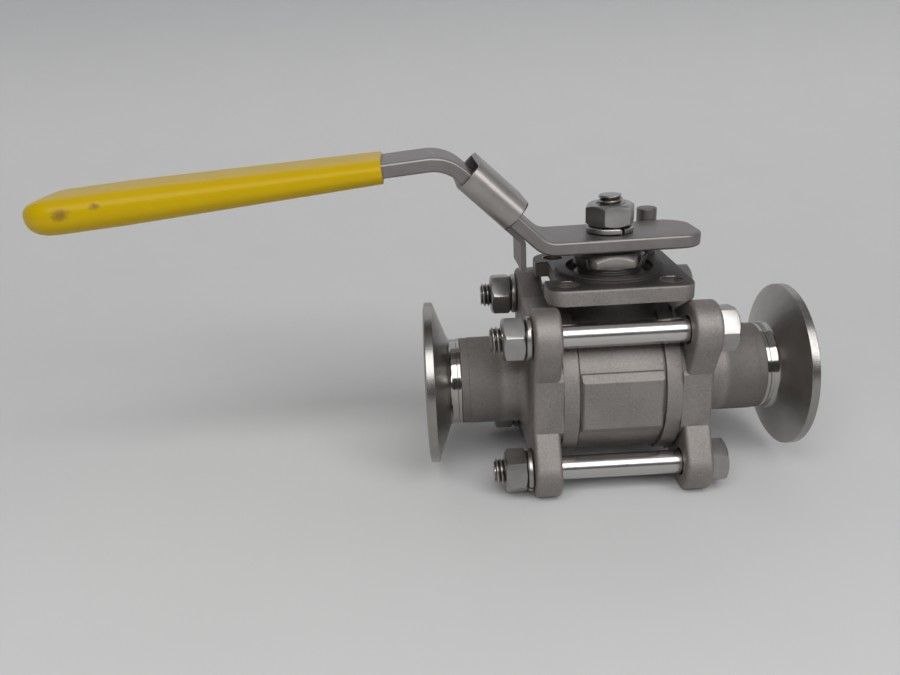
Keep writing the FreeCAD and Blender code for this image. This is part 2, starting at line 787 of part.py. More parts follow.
def make_tab_washer():
    """Lock washer under the gland nut with two tabs bent up beside its flats."""
    body = new_body("tab_washer", standing((0, 0, 0), (dim.tab_turn, 0, 0)))
    thick = dim.tab_washer_thickness
    reach = dim.gland_nut_across_flats / 2 + dim.tab_gap
    turn(body, "disc", "Z", [
        (springs_top, dim.shaft_radius + dim.stem_bore_play),
        (springs_top, dim.tab_washer_radius), (springs_top + thick, dim.tab_washer_radius),
        (springs_top + thick, dim.shaft_radius + dim.stem_bore_play)])
    lean = dim.tab_rise * tangent(dim.tab_lean_angle)
    tab = new_sketch(body, "tab_section", "XZ_Plane")
    draw_polygon(tab, [
        (dim.shaft_radius + dim.overlap, springs_top), (reach + thick, springs_top),
        (reach + thick + lean, springs_top + dim.tab_rise),
        (reach + lean, springs_top + dim.tab_rise), (reach, springs_top + thick),
        (dim.shaft_radius + dim.overlap, springs_top + thick)])
    tab_pad = extrude(body, "tab", tab, dim.tab_width, both_ways=True)
    pattern = body.newObject("PartDesign::PolarPattern", "tabs")
    pattern.Originals = [tab_pad]
    pattern.Axis = (origin_feature(body, "Z_Axis"), [""])
    pattern.setExpression("Angle", dim.tab_spread_angle.text)
    pattern.Occurrences = 2
    body.Tip = pattern
    return body


# Fasteners

def cut_corners(body, name, axis, across_flats, face, inward):
    """Turn the corners of a hexagon down to a shallow cone at one face."""
    corner = across_flats / math.sqrt(3) + dim.overlap
    flat = across_flats / 2 * dim.hexagon_chamfer_share
    slope = (corner - flat) * tangent(dim.hexagon_chamfer_angle) * inward
    turn(body, name, axis, [(face, flat), (face, corner), (face + slope, corner)], cut=True)


def add_hexagon(body, axis, across_flats, start, height):
    """Pad a hexagon along an axis, with two flats across its second direction."""
    half = across_flats / 2
    corner = across_flats / math.sqrt(3)
    plane = "YZ_Plane" if axis == "X" else "XY_Plane"
    sketch = new_sketch(body, "hexagon", plane, start)
    draw_polygon(sketch, [(corner, 0), (corner / 2, half), (-corner / 2, half),
                          (-corner, 0), (-corner / 2, -half), (corner / 2, -half)])
    extrude(body, "hex", sketch, height)


def make_nut(label, axis, across_flats, start, height, hole, placement=None):
    """Hexagon nut with both faces chamfered."""
    body = new_body(label, placement)
    add_hexagon(body, axis, across_flats, start, height)
    turn(body, "hole", axis, [(start, 0), (start, hole), (start + height, hole),
                              (start + height, 0)], cut=True)
    cut_corners(body, "lower_corners", axis, across_flats, start, 1)
    cut_corners(body, "upper_corners", axis, across_flats, start + height, -1)
    return body


def make_spring_washer(label, axis, start, thickness, inner, outer, placement=None):
    """Spring washer: a ring with one split."""
    body = new_body(label, placement)
    turn(body, "ring", axis, [(start, inner), (start, outer), (start + thickness, outer),
                              (start + thickness, inner)])
    plane = "YZ_Plane" if axis == "X" else "XY_Plane"
    split = new_sketch(body, "split_outline", plane, start + thickness)
    half = dim.washer_split / 2
    reach = outer + dim.overlap
    draw_polygon(split, [(0, -half), (reach, -half), (reach, half), (0, half)])
    extrude(body, "split", split, thickness, cut=True)
    return body


def make_bolt(label, placement):
    """Hexagon bolt along X with a reduced shank and a rolled thread at its far end."""
    body = new_body(label, placement)
    across = dim.bolt_across_flats
    add_hexagon(body, "X", across, flange_back, dim.bolt_head_height)
    cut_corners(body, "head_corners", "X", across, flange_back + dim.bolt_head_height, -1)
    thread = dim.bolt_thread_radius
    thread_start = bolt_end - dim.bolt_thread_length
    turn(body, "shank", "X", [
        (flange_back + dim.overlap, 0), (flange_back + dim.overlap, dim.bolt_shank_radius),
        (-thread_start, dim.bolt_shank_radius), (-thread_start, thread),
        (dim.thread_point - bolt_end, thread), (-bolt_end, thread - dim.thread_point),
        (-bolt_end, 0)])
    return body


def make_bolt_set(corner, front, up, head_turn, nut_turn):
    """Bolt, spring washer and nut through one pair of ears."""
    place = (as_size(0), bolt_place * front, bolt_place * up)
    nut_hole = dim.bolt_thread_radius + dim.thread_play
    washer_hole = dim.bolt_thread_radius + dim.bolt_hole_clearance
    return [
        make_bolt("bolt_" + corner, standing(place, (0, 0, head_turn))),
        make_spring_washer("bolt_washer_" + corner, "X", -nut_place, dim.bolt_washer_thickness,
                           washer_hole, dim.bolt_washer_radius,
                           standing(place, (0, 0, nut_turn + dim.split_turn))),
        make_nut("bolt_nut_" + corner, "X", dim.bolt_across_flats,
                 -nut_place - dim.bolt_nut_height, dim.bolt_nut_height, nut_hole,
                 standing(place, (0, 0, nut_turn)))]


# Lever, grip and locking sleeve

def bend_point(place, height, before, after, depth):
    """Corner of the strip at a depth under its top face, where its direction changes."""
    share = depth / (cosine(before - after) + 1)
    return (place + (sine(before) + sine(after)) * share,
            height - (cosine(before) + cosine(after)) * share)


def droop_height(place):
    """Height of the strip's top face beyond its second bend."""
    return second_bend_top - (place - dim.lever_second_bend) * tangent(dim.lever_droop_angle)


def make_lever():
    """Flat strip bent twice, with a square hole at its pivot."""
    body = new_body("lever", standing((0, 0, 0), (lever_heading, 0, 0)))
    thick = dim.lever_thickness
    level = as_size(0)
    first = (dim.lever_first_bend, lever_top)
    second = (dim.lever_second_bend, second_bend_top)
    first_low = bend_point(first[0], first[1], level, dim.lever_slope_angle, thick)
    second_low = bend_point(second[0], second[1], dim.lever_slope_angle, -dim.lever_droop_angle,
                            thick)
    end = (lever_end, droop_height(lever_end))
    end_low = (end[0] - thick * sine(dim.lever_droop_angle),
               end[1] - thick * cosine(dim.lever_droop_angle))
    side = new_sketch(body, "side_outline", "XZ_Plane")
    draw_polygon(side, [
        (-dim.lever_tail, lever_bottom), first_low, second_low, end_low,
        end, second, first, (-dim.lever_tail, lever_top)])
    extrude(body, "strip", side, dim.lever_width, both_ways=True)
    bends = (("first_bend_inside", first, dim.first_bend_radius),
             ("first_bend_outside", first_low, dim.first_bend_radius + thick),
             ("second_bend_inside", second_low, dim.second_bend_radius),
             ("second_bend_outside", second, dim.second_bend_radius + thick))
    for name, corner, radius in bends:
        round_edges(body, name, radius, lambda edge: (
            stays_at(edge, "x", corner[0]) and stays_at(edge, "z", corner[1])))
    round_edges(body, "tail_corners", dim.lever_tail_corner, lambda edge: (
        stays_at(edge, "x", -dim.lever_tail) and near(abs(middle_of(edge).y), dim.lever_width / 2)))
    hole = new_sketch(body, "square_hole_outline", "XY_Plane", lever_top)
    draw_rectangle(hole, dim.lever_square / 2, dim.lever_square / 2)
    extrude(body, "square_hole", hole, thick, cut=True)
    half_width = dim.lever_width / 2
    round_edges(body, "long_edges", dim.lever_edge_radius, lambda edge: (
        near(abs(edge.Vertexes[0].Y), half_width) and near(abs(edge.Vertexes[-1].Y), half_width)
        and abs(edge.Vertexes[0].X - edge.Vertexes[-1].X) > thick.value / 2))
    return body


def make_grip():
    """Dipped grip that thickens and widens from its mouth to its rounded tip."""
    middle = dim.lever_thickness / 2
    out = dim.grip_start - middle * sine(dim.lever_droop_angle)
    height = droop_height(dim.grip_start) - middle * cosine(dim.lever_droop_angle)
    place = (out * cosine(lever_heading), out * sine(lever_heading), height)
    body = new_body("grip", standing(place, (lever_heading, dim.lever_droop_angle, 0)))
    full = (dim.grip_full - dim.grip_start) / cosine(dim.lever_droop_angle)
    length = (dim.grip_end - dim.grip_start) / cosine(dim.lever_droop_angle)
    half_mouth = middle + dim.grip_mouth_wall
    half_height = middle + dim.grip_wall
    side = new_sketch(body, "side_outline", "XZ_Plane")
    draw_polygon(side, [
        (0, -half_mouth), (full, -half_height), (length, -half_height),
        (length, half_height), (full, half_height), (0, half_mouth)])
    half_width = dim.lever_width / 2 + dim.grip_side
    mouth_width = dim.lever_width / 2 + dim.grip_mouth_side
    extrude(body, "skin", side, half_width * 2, both_ways=True)
    plan = new_sketch(body, "plan_taper", "XY_Plane")
    beyond = half_width + dim.overlap
    for way in (1, -1):
        draw_polygon(plan, [(0, mouth_width * way), (length, half_width * way),
                            (length, beyond * way), (0, beyond * way)])
    extrude(body, "taper", plan, None, cut=True)
    round_edges(body, "tip_corners", half_width - dim.grip_tip_flat, lambda edge: (
        stays_at(edge, "x", length) and near(abs(middle_of(edge).y), half_width)
        and near(middle_of(edge).z, 0)))
    round_edges(body, "soft_edges", half_mouth - dim.grip_edge_flat, lambda edge: (
        abs(middle_of(edge).z) > dim.lever_thickness.value / 2
        and (stays_at(edge, "x", length)
             or not near(edge.Vertexes[0].X, edge.Vertexes[-1].X))))
    slot = new_sketch(body, "slot_section", "YZ_Plane")
    draw_rectangle(slot, dim.lever_width / 2, dim.lever_thickness / 2)
    depth = (lever_end - dim.grip_start) / cosine(dim.lever_droop_angle)
    extrude(body, "slot", slot, depth, cut=True, backwards=True)
    return body


def make_lock_sleeve():
    """Sleeve that slides on the lever's slope, with a tongue for the pad's notch."""
    place = (dim.lever_first_bend * cosine(lever_heading),
             dim.lever_first_bend * sine(lever_heading), lever_top)
    body = new_body("lock_sleeve", standing(place, (lever_heading, -dim.lever_slope_angle, 0)))
    bottom = -(dim.lever_thickness + dim.sleeve_under_play + dim.sleeve_wall)
    centre = bottom + dim.sleeve_height / 2
    outer = new_sketch(body, "outer_outline", "YZ_Plane", dim.sleeve_start)
    half_width = dim.sleeve_width / 2
    draw_polygon(outer, [(-half_width, bottom), (half_width, bottom),
                         (half_width, bottom + dim.sleeve_height),
                         (-half_width, bottom + dim.sleeve_height)])
    extrude(body, "tube", outer, dim.sleeve_length)
    round_edges(body, "tube_corners", dim.sleeve_corner, lambda edge: (
        near(abs(middle_of(edge).y), half_width)
        and near(abs(middle_of(edge).z - centre.value), dim.sleeve_height / 2)))
    add_tongue(body, bottom)
    inner = new_sketch(body, "inner_outline", "YZ_Plane", dim.sleeve_start)
    inside = half_width - dim.sleeve_wall
    low = bottom + dim.sleeve_wall
    high = bottom + dim.sleeve_height - dim.sleeve_wall
    draw_polygon(inner, [(-inside, low), (inside, low), (inside, high), (-inside, high)])
    extrude(body, "opening", inner, dim.sleeve_length, cut=True, backwards=True)
    round_edges(body, "opening_corners", dim.sleeve_inner_corner, lambda edge: (
        near(abs(middle_of(edge).y), inside)
        and (near(middle_of(edge).z, low) or near(middle_of(edge).z, high))
        and not near(edge.Vertexes[0].X, edge.Vertexes[-1].X)))
    return body


def add_tongue(body, bottom):
    """Tongue carried on from the sleeve's lower wall and bent straight down."""
    wall = dim.sleeve_wall
    run = sine(dim.lever_slope_angle)
    fall = cosine(dim.lever_slope_angle)
    out = dim.tongue_place - dim.lever_first_bend
    drop = pad_top + dim.tongue_gap - lever_top

    def under_sleeve(place, depth):
        """Corner where a vertical face crosses a face parallel to the slope."""
        along = (place + depth * run) / fall
        return (along, depth)

    def tip(place):
        """Corner at the tongue's lower end."""
        return (place * fall + drop * run, drop * fall - place * run)

    lap = dim.sleeve_start + dim.tongue_lap
    inside = under_sleeve(out + wall, bottom)
    outside = under_sleeve(out, bottom + wall)
    tongue = new_sketch(body, "tongue_section", "XZ_Plane")
    draw_polygon(tongue, [
        (lap, bottom), inside, tip(out + wall), tip(out), outside, (lap, bottom + wall)])
    extrude(body, "tongue", tongue, dim.tongue_width, both_ways=True)
    bends = (("tongue_bend_inside", inside, dim.tongue_bend_radius),
             ("tongue_bend_outside", outside, dim.tongue_bend_radius + wall))
    for name, corner, radius in bends:
        round_edges(body, name, radius, lambda edge: (
            stays_at(edge, "x", corner[0]) and stays_at(edge, "z", corner[1])))


def make_stop_pin():
    """Pin that stops the lever when the valve is open and when it is shut."""
    place = (pad_hole_place, pad_hole_place, 0)
    body = new_body("stop_pin", standing(place, (0, 0, 0)))
    top = pad_top + dim.stop_pin_height
    turn(body, "pin", "Z", [
        (pad_bottom, 0), (pad_bottom, stop_pin_radius),
        (top - dim.stop_pin_point, stop_pin_radius),
        (top, stop_pin_radius - dim.stop_pin_point), (top, 0)])
    return body


def make_valve():
    """Every sub-part, in the order in which the valve goes together."""
    sides = (("right", 0), ("left", 180))
    parts = [make_centre_body(), make_ball(), make_stem()]
    for side, heading in sides:
        parts.append(make_body_seal("body_seal_" + side, heading))
        parts.append(make_seat("seat_" + side, heading))
        parts.append(make_end_cap("end_cap_" + side, heading))
        parts.append(make_ferrule("ferrule_" + side, heading))
    shaft_hole = dim.shaft_radius + dim.stem_bore_play
    parts.append(make_ring("thrust_washer", "Z", collar_top, pocket_top,
                           shaft_hole, dim.collar_radius))
    parts.append(make_packing("packing_lower", 0, nested=False))
    parts.append(make_packing("packing_middle", 1))
    parts.append(make_packing("packing_upper", 2))
    parts.append(make_gland_ring())
    parts.append(make_disc_spring("disc_spring_lower", gland_top, 1))
    parts.append(make_disc_spring("disc_spring_upper", gland_top + spring_height, 0))
    parts.append(make_tab_washer())
    parts.append(make_nut("gland_nut", "Z", dim.gland_nut_across_flats, gland_nut_bottom,
                          dim.gland_nut_height, dim.shaft_radius + dim.thread_play))
    parts += [make_lever(), make_grip(), make_lock_sleeve()]
    parts.append(make_spring_washer("handle_washer", "Z", lever_top, dim.handle_washer_thickness,
                                    dim.handle_thread_radius + dim.bolt_hole_clearance,
                                    dim.handle_washer_radius,
                                    standing((0, 0, 0), (dim.handle_washer_turn, 0, 0))))
    parts.append(make_nut("handle_nut", "Z", dim.handle_nut_across_flats, handle_nut_bottom,
                          dim.handle_nut_height, dim.handle_thread_radius + dim.thread_play,
                          standing((0, 0, 0), (dim.handle_nut_turn, 0, 0))))
    parts.append(make_stop_pin())
    parts += make_bolt_set("front_top", -1, 1, dim.front_top_head_turn, dim.front_top_nut_turn)
    parts += make_bolt_set("front_bottom", -1, -1, dim.front_bottom_head_turn,
                           dim.front_bottom_nut_turn)
    parts += make_bolt_set("rear_top", 1, 1, dim.rear_top_head_turn, dim.rear_top_nut_turn)
    parts += make_bolt_set("rear_bottom", 1, -1, dim.rear_bottom_head_turn,
                           dim.rear_bottom_nut_turn)
    return parts


def check(parts):
    """Stop if a feature has failed or a sub-part is not one valid solid."""
    for item in doc.Objects:
        if "Invalid" in item.State or "Error" in item.State:
            raise RuntimeError("%s failed: %s" % (item.Label, item.State))
    for part in parts:
        shape = part.Shape
        if shape.isNull() or not shape.isValid() or len(shape.Solids) != 1:
            raise RuntimeError("%s is not one valid solid" % part.Label)


def write(parts):
    os.makedirs("parts", exist_ok=True)
    for part in parts:
        part.Shape.exportStep("parts/%s.step" % part.Label)


valve = make_valve()
doc.recompute()
check(valve)
write(valve)
print("%d sub-parts written" % len(valve))
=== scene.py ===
import json
import math

import bmesh
import bpy
from mathutils import Matrix, Vector


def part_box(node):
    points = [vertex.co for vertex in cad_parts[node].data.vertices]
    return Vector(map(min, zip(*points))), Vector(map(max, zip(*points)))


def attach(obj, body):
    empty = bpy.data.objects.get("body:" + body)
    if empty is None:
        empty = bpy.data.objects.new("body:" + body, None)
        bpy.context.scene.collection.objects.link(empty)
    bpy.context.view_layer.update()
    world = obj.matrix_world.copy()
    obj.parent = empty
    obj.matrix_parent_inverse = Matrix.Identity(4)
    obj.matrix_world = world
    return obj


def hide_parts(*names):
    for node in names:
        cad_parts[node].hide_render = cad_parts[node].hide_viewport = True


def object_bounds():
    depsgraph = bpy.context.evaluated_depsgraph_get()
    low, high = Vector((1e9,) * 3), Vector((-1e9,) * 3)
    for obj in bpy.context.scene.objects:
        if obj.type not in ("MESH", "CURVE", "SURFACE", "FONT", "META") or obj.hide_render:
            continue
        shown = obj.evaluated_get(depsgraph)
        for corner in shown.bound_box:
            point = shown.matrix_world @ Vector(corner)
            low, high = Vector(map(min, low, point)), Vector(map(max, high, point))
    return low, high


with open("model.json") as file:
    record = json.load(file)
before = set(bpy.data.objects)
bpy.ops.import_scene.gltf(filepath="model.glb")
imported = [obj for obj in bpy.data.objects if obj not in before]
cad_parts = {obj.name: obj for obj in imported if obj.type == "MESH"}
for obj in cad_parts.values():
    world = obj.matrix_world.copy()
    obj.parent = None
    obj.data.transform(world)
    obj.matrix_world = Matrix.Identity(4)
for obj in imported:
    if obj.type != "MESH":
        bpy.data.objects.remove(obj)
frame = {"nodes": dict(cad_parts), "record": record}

bl_info = {
    "name": "Sanitary Ball Valve",
    "version": (1, 0, 0),
    "blender": (4, 5, 0),
    "location": "3D View > Sidebar > Valve",
    "description": "Models and finishes a clamp end ball valve on its construction model",
    "category": "Add Mesh",
}

SOLIDS_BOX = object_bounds()
MM = 0.001
TURN = 2 * math.pi
# Vertices nearer than this are merged, and cuts keep a hair clear of faces
SAME_POINT = 0.0005 * MM
HAIR = 0.01 * MM
# Edges that turn by more degrees than this show
SHARP = 24.0
# Pairs of faces that a full turn of rounding has
ROUNDING_PAIRS = 48


def low(node):
    """Lowest corner of a construction solid."""
    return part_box(node)[0]


def high(node):
    """Highest corner of a construction solid."""
    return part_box(node)[1]


def centre_of(node):
    """Centre of a construction solid's box."""
    return (low(node) + high(node)) / 2


def length(name, description, millimetres):
    """A size shown in the sidebar, kept in metres."""
    return bpy.props.FloatProperty(name=name, description=description, default=millimetres * MM,
                                   min=0.0, unit="LENGTH", subtype="DISTANCE")


def angle(name, description, degrees):
    """An angle shown in degrees, kept in radians."""
    return bpy.props.FloatProperty(name=name, description=description,
                                   default=math.radians(degrees), unit="ROTATION",
                                   subtype="ANGLE")


def colour(name, description, value):
    return bpy.props.FloatVectorProperty(name=name, description=description, size=3,
                                         default=value, min=0.0, max=1.0, subtype="COLOR")


def share(name, description, value):
    """A number from 0 to 1."""
    return bpy.props.FloatProperty(name=name, description=description, default=value,
                                   min=0.0, max=1.0, subtype="FACTOR")


def whole(name, description, value):
    """A count of faces."""
    return bpy.props.IntProperty(name=name, description=description, default=value, min=3)


def power(name, description, watts):
    return bpy.props.FloatProperty(name=name, description=description, default=watts, min=0.0,
                                   unit="POWER")


class FerruleSizes(bpy.types.PropertyGroup):
    """Sizes of the clamp ferrules that their solids' boxes do not give."""

    bore: length("Bore", "Radius of the flow passage", 11.05)
    stub: length("Stub", "Outer radius of the tube end", 13.2)
    rim: length("Rim", "Width of the clamp rim", 2.87)
    rim_edge: length("Rim edge", "Rounding between the rim and the cone", 0.25)
    face_edge: length("Face edge", "Rounding between the rim and the face", 0.35)
    bore_edge: length("Bore edge", "Rounding between the face and the bore", 0.2)
    cone: angle("Cone", "Slope of the clamping face", 20.0)
    root: length("Root", "Radius between the stub and the cone", 1.6)
    bead: length("Bead", "Height of the weld bead", 0.16)
    bead_width: length("Bead width", "Width of the weld bead", 1.3)
    bead_side: share("Bead side", "Width of each sloping side, of the bead's width", 0.2)
    bead_round: share("Bead rounding", "Rounding of the bead, of its width", 0.25)
    bead_foot: length("Bead foot", "Rounding where the bead meets the stub", 0.1)
    groove: length("Groove", "Radius of the gasket groove's section", 1.5)
    groove_place: length("Groove place", "Radius at which the gasket groove runs", 21.8)
    groove_steps: whole("Groove steps", "Faces across the gasket groove", 12)
    steps: whole("Steps", "Faces round each ferrule", 144)


class FastenerSizes(bpy.types.PropertyGroup):
    """Sizes of bolts, nuts, washers and the stop pin."""

    bolt_flats: length("Bolt flats", "Width over flats of the bolts' heads and nuts", 12.0)
    handle_flats: length("Handle nut flats", "Width over flats of the handle nut", 13.0)
    gland_flats: length("Gland nut flats", "Width over flats of the gland nut", 19.0)
    gland_hole: length("Gland nut hole", "Radius of the gland nut's hole", 6.1)
    gland_chamfer: angle("Gland nut chamfer", "Slope of the gland nut's turned corners", 42.0)
    handle_nut_turn: angle("Handle nut turn", "How far the handle nut is turned", 67.7)
    handle_split_turn: angle("Handle washer turn", "Where the handle washer is split", -71.6)
    handle_washer: length("Handle washer", "Outer radius of the handle washer", 7.05)
    split_lag: angle("Washer lag", "From a bolt nut's corner to its washer's split", 100.0)
    shank: length("Shank", "Radius of the bolts between head and thread", 3.55)
    thread: length("Thread", "Outer radius of the bolts' thread", 3.9)
    thread_run: length("Thread run", "Length of the bolts' thread", 17.5)
    stem_thread: length("Stem thread", "Outer radius of the stem's thread", 4.0)
    stem_hidden: length("Stem thread start", "Depth of the stem's thread in the handle nut", 2.0)
    pitch: length("Pitch", "Distance from thread to thread", 1.25)
    depth: length("Depth", "Depth of the thread", 0.78)
    point: length("Point", "How much smaller the thread's end is than its radius", 0.7)
    bolt_taper: share("Bolt taper", "Slope of the bolts' ends", 1.0)
    stem_taper: share("Stem taper", "Slope of the stem's end", 0.3)
    thread_steps: whole("Thread steps", "Faces round each thread", 56)
    thread_rings: whole("Thread rings", "Rings of faces to each pitch", 9)
    hole_room: length("Hole room", "Room between a thread and its nut", 0.05)
    washer_room: length("Washer room", "Room between a thread and its washer", 0.3)
    chamfer: angle("Chamfer", "Slope of the turned corners on hexagons", 33.0)
    chamfer_share: share("Chamfer start", "Where the turned corner starts, of half the flats", 0.92)
    countersink: length("Countersink", "Depth of the slope round the nuts' holes", 0.4)
    edge: length("Edge", "Rounding of the hexagons' edges", 0.09)
    edge_angle: angle("Edge angle", "Sharpest turn of a hexagon that stays unrounded", 28.0)
    split: length("Split", "Gap in the spring washers", 0.7)
    spread: length("Spread", "How far a spring washer's ends stand apart", 0.25)
    wire: length("Wire", "Rounding of a spring washer's outer edges", 0.62)
    pin_foot: length("Pin foot", "Rounding of the stop pin's lower end", 0.2)
    pin_rise: length("Pin chamfer rise", "Height of the stop pin's chamfer", 0.25)
    pin_inset: length("Pin chamfer inset", "Width of the stop pin's chamfer", 0.35)
    pin_edge: length("Pin edge", "Rounding of the stop pin's chamfer", 0.1)
    pin_steps: whole("Pin steps", "Faces round the stop pin", 48)
    steps: whole("Steps", "Faces round each turned fastener", 72)


class HandleSizes(bpy.types.PropertyGroup):
    """Sizes of the grip and the lock sleeve, and where the lever runs."""

    heading: angle("Heading", "Direction of the lever in plan", 182.2)
    droop: angle("Droop", "Fall of the lever's long arm", 4.5)
    strip: length("Strip", "Thickness of the lever", 4.0)
    strip_width: length("Strip width", "Width of the lever", 22.0)
    grip_start: length("Grip start", "Distance of the grip's mouth from the stem", 66.0)
    grip_end: length("Grip end", "Distance of the grip's tip from the stem", 166.2)
    mouth_top: length("Mouth height", "Height of the lever's top face at the grip's mouth", 70.80)
    mouth_wall: length("Mouth wall", "Thickness of the vinyl over the lever at the mouth", 1.5)
    rim: share("Mouth rim", "Width of the mouth's rim, of the vinyl's thickness there", 0.9)
    wall: length("Wall", "Thickness of the vinyl over the lever at the tip", 3.0)
    sag: length("Sag", "How much more of the vinyl lies under the lever than over it", 0.36)
    mouth_side: length("Mouth side", "Thickness of the vinyl beside the lever at the mouth", 1.2)
    side: length("Side", "Thickness of the vinyl beside the lever at the tip", 2.0)
    full: length("Full", "Distance from the stem where the grip has its full height", 138.0)
    lever_end: length("Lever end", "Distance of the lever's end from the stem", 157.5)
    edge: length("Edge", "Height of the rounding along the grip's edges at the mouth", 3.2)
    edge_run: length("Edge run", "Width of the rounding along the grip's edges at the mouth", 4.9)
    tip: length("Tip", "Radius of the tip's corners in plan", 12.0)
    nose: length("Nose", "Height of the tip's rounding in side view", 4.85)
    nose_run: length("Nose run", "Length of the tip's rounding in side view", 9.5)
    lip: length("Lip", "Rounding of the mouth's rim", 0.35)
    lip_angle: angle("Lip angle", "Sharpest turn of the grip's surface that stays unrounded", 50.0)
    tail: length("Tail", "Radius of the rear corner at the lever's short end", 10.0)
    tail_steps: whole("Tail steps", "Faces round the lever's rear corner", 14)
    slope: angle("Slope", "Fall of the lever's slope between its bends", 44.0)
    sleeve_side: length("Sleeve side", "Radius of the lock sleeve's sides", 4.98)
    sleeve_steps: whole("Sleeve steps", "Faces round each corner of the lock sleeve", 16)
    edge_steps: whole("Edge steps", "Faces round each edge of the grip", 9)


class FinishColours(bpy.types.PropertyGroup):
    """Colours of the metals and the vinyl."""

    casting: colour("Casting", "Blasted stainless casting", (0.305, 0.283, 0.270))
    turned: colour("Turned", "Turned and polished stainless", (0.40, 0.385, 0.365))
    fastener: colour("Fastener", "Bright cold formed stainless", (0.375, 0.364, 0.352))
    strip: colour("Strip", "Tumbled stainless strip", (0.268, 0.253, 0.245))
    ball: colour("Ball", "Mirror polished ball", (0.72, 0.71, 0.69))
    vinyl: colour("Vinyl", "Dipped yellow vinyl", (0.53, 0.352, 0.0))
    seal: colour("Seal", "White sealing plastic", (0.86, 0.86, 0.84))
    rub: colour("Rub", "Rubbed spots on the vinyl", (0.17, 0.085, 0.03))
    # Painted shade in the bottoms of the threads
    thread_root_shade: colour("Thread root shade", "Dark bottom of a thread", (0.09, 0.074, 0.06))


class StageSettings(bpy.types.PropertyGroup):
    """Floor, light and camera."""

    floor: colour("Floor", "Pale floor", (0.57, 0.57, 0.57))
    backdrop: colour("Backdrop", "Backdrop behind the floor", (0.45, 0.454, 0.462))
    surroundings: colour("Surroundings", "Colour of the light from all round", (0.97, 0.98, 1.0))
    floor_width: length("Floor width", "Width of the floor", 4400.0)
    floor_shift: length("Floor shift", "How far the floor's middle lies to the front", 600.0)
    wall: length("Wall", "Height of the backdrop", 2600.0)
    sweep: length("Sweep", "Radius between the floor and the backdrop", 1500.0)
    sweep_steps: whole("Sweep steps", "Faces between the floor and the backdrop", 48)
    light: power("Light", "Power of the large lamp overhead", 138.0)
    right_light: power("Right light", "Power of the small lamp at the right", 16.0)
    side_light: power("Side light", "Power of the wide lamp beside the valve", 7.2)
    ceiling_light: power("Ceiling light", "Power of the ceiling", 11.0)
    around: bpy.props.FloatProperty(name="Around", description="Brightness of the surroundings",
                                    default=0.07, min=0.0)
    lens: bpy.props.FloatProperty(name="Lens", description="Focal length on a 36 mm sensor",
                                  default=31.8, min=1.0, subtype="DISTANCE_CAMERA")
    eye: bpy.props.FloatVectorProperty(name="Eye", description="Where the camera stands",
                                       default=(-0.0513, -0.23115, 0.1025), size=3,
                                       unit="LENGTH", subtype="TRANSLATION")
    heading: angle("Heading", "Turn of the camera away from +Y", 0.556)
    pitch: angle("Pitch", "How far the camera looks down", 20.793)
    roll: angle("Roll", "Tilt of the camera about its own line of sight", -2.922)


# Modelling by hand: start a piece, draw in edit mode, finish it

def begin():
    """Leave nothing selected, so that an operator acts on the new piece alone."""
    if bpy.context.object and bpy.context.object.mode != "OBJECT":
        bpy.ops.object.mode_set(mode="OBJECT")
    bpy.ops.object.select_all(action="DESELECT")


def pick(piece, *others):
    """Select pieces, with the first one active."""
    begin()
    for chosen in (piece, *others):
        chosen.select_set(True)
    bpy.context.view_layer.objects.active = piece


def edit(piece):
    """Enter edit mode with the whole piece selected."""
    pick(piece)
    bpy.ops.object.mode_set(mode="EDIT")
    bpy.ops.mesh.select_mode(type="VERT")
    bpy.ops.mesh.select_all(action="SELECT")


def pick_edges(piece, wanted):
    """In edit mode, select the edges whose two ends pass a test."""
    bpy.ops.mesh.select_mode(type="EDGE")
    bpy.ops.mesh.select_all(action="DESELECT")
    mesh = bmesh.from_edit_mesh(piece.data)
    for edge in mesh.edges:
        if wanted(*(vertex.co for vertex in edge.verts)):
            edge.select_set(True)
    bmesh.update_edit_mesh(piece.data)


def leave():
    """Leave edit mode."""
    bpy.ops.object.mode_set(mode="OBJECT")


def settle(piece):
    """Apply the piece's place to its mesh."""
    pick(piece)
    bpy.ops.object.transform_apply(location=True, rotation=True, scale=True)


def added(name):
    """The primitive that was just added, named, with its place in its mesh."""
    piece = bpy.context.object
    piece.name = piece.data.name = name
    settle(piece)
    return piece


def block(name, middle, sizes):
    """A block in edit mode, to be rounded and to cut a piece with."""
    begin()
    bpy.ops.mesh.primitive_cube_add(size=1.0, location=middle, scale=sizes)
    piece = added(name)
    edit(piece)
    return piece


def round_edges(piece, radius, steps, wanted):
    """In edit mode, round the edges whose two ends pass a test, and leave it."""
    pick_edges(piece, wanted)
    bpy.ops.mesh.bevel(offset=radius, segments=steps, profile=0.5, affect="EDGES")
    leave()


def merge_doubles():
    bpy.ops.mesh.remove_doubles(threshold=SAME_POINT)


def smooth(piece, degrees=SHARP):
    """Shade a piece smooth, but for edges that turn more sharply than an angle."""
    pick(piece)
    bpy.ops.object.shade_smooth_by_angle(angle=math.radians(degrees))


def modify(piece, kind, **settings):
    """Add a modifier, set it and apply it."""
    pick(piece)
    modifier = piece.modifiers.new(kind.title(), kind)
    for name, value in settings.items():
        setattr(modifier, name, value)
    bpy.ops.object.modifier_apply(modifier=modifier.name)


def combine(piece, other, operation):
    """Boolean one closed piece with another, which is used up."""
    modify(piece, "BOOLEAN", operation=operation, object=other, solver="EXACT")
    bpy.data.objects.remove(other)


def soften(piece, width, segments, radians):
    """Bevel the edges that turn more sharply than an angle."""
    modify(piece, "BEVEL", width=width, segments=segments, limit_method="ANGLE",
           angle_limit=radians, use_clamp_overlap=True)


def copy_of(piece, name):
    """A copy with a mesh of its own."""
    pick(piece)
    bpy.ops.object.duplicate(linked=False)
    made = bpy.context.object
    made.name = made.data.name = name
    return made


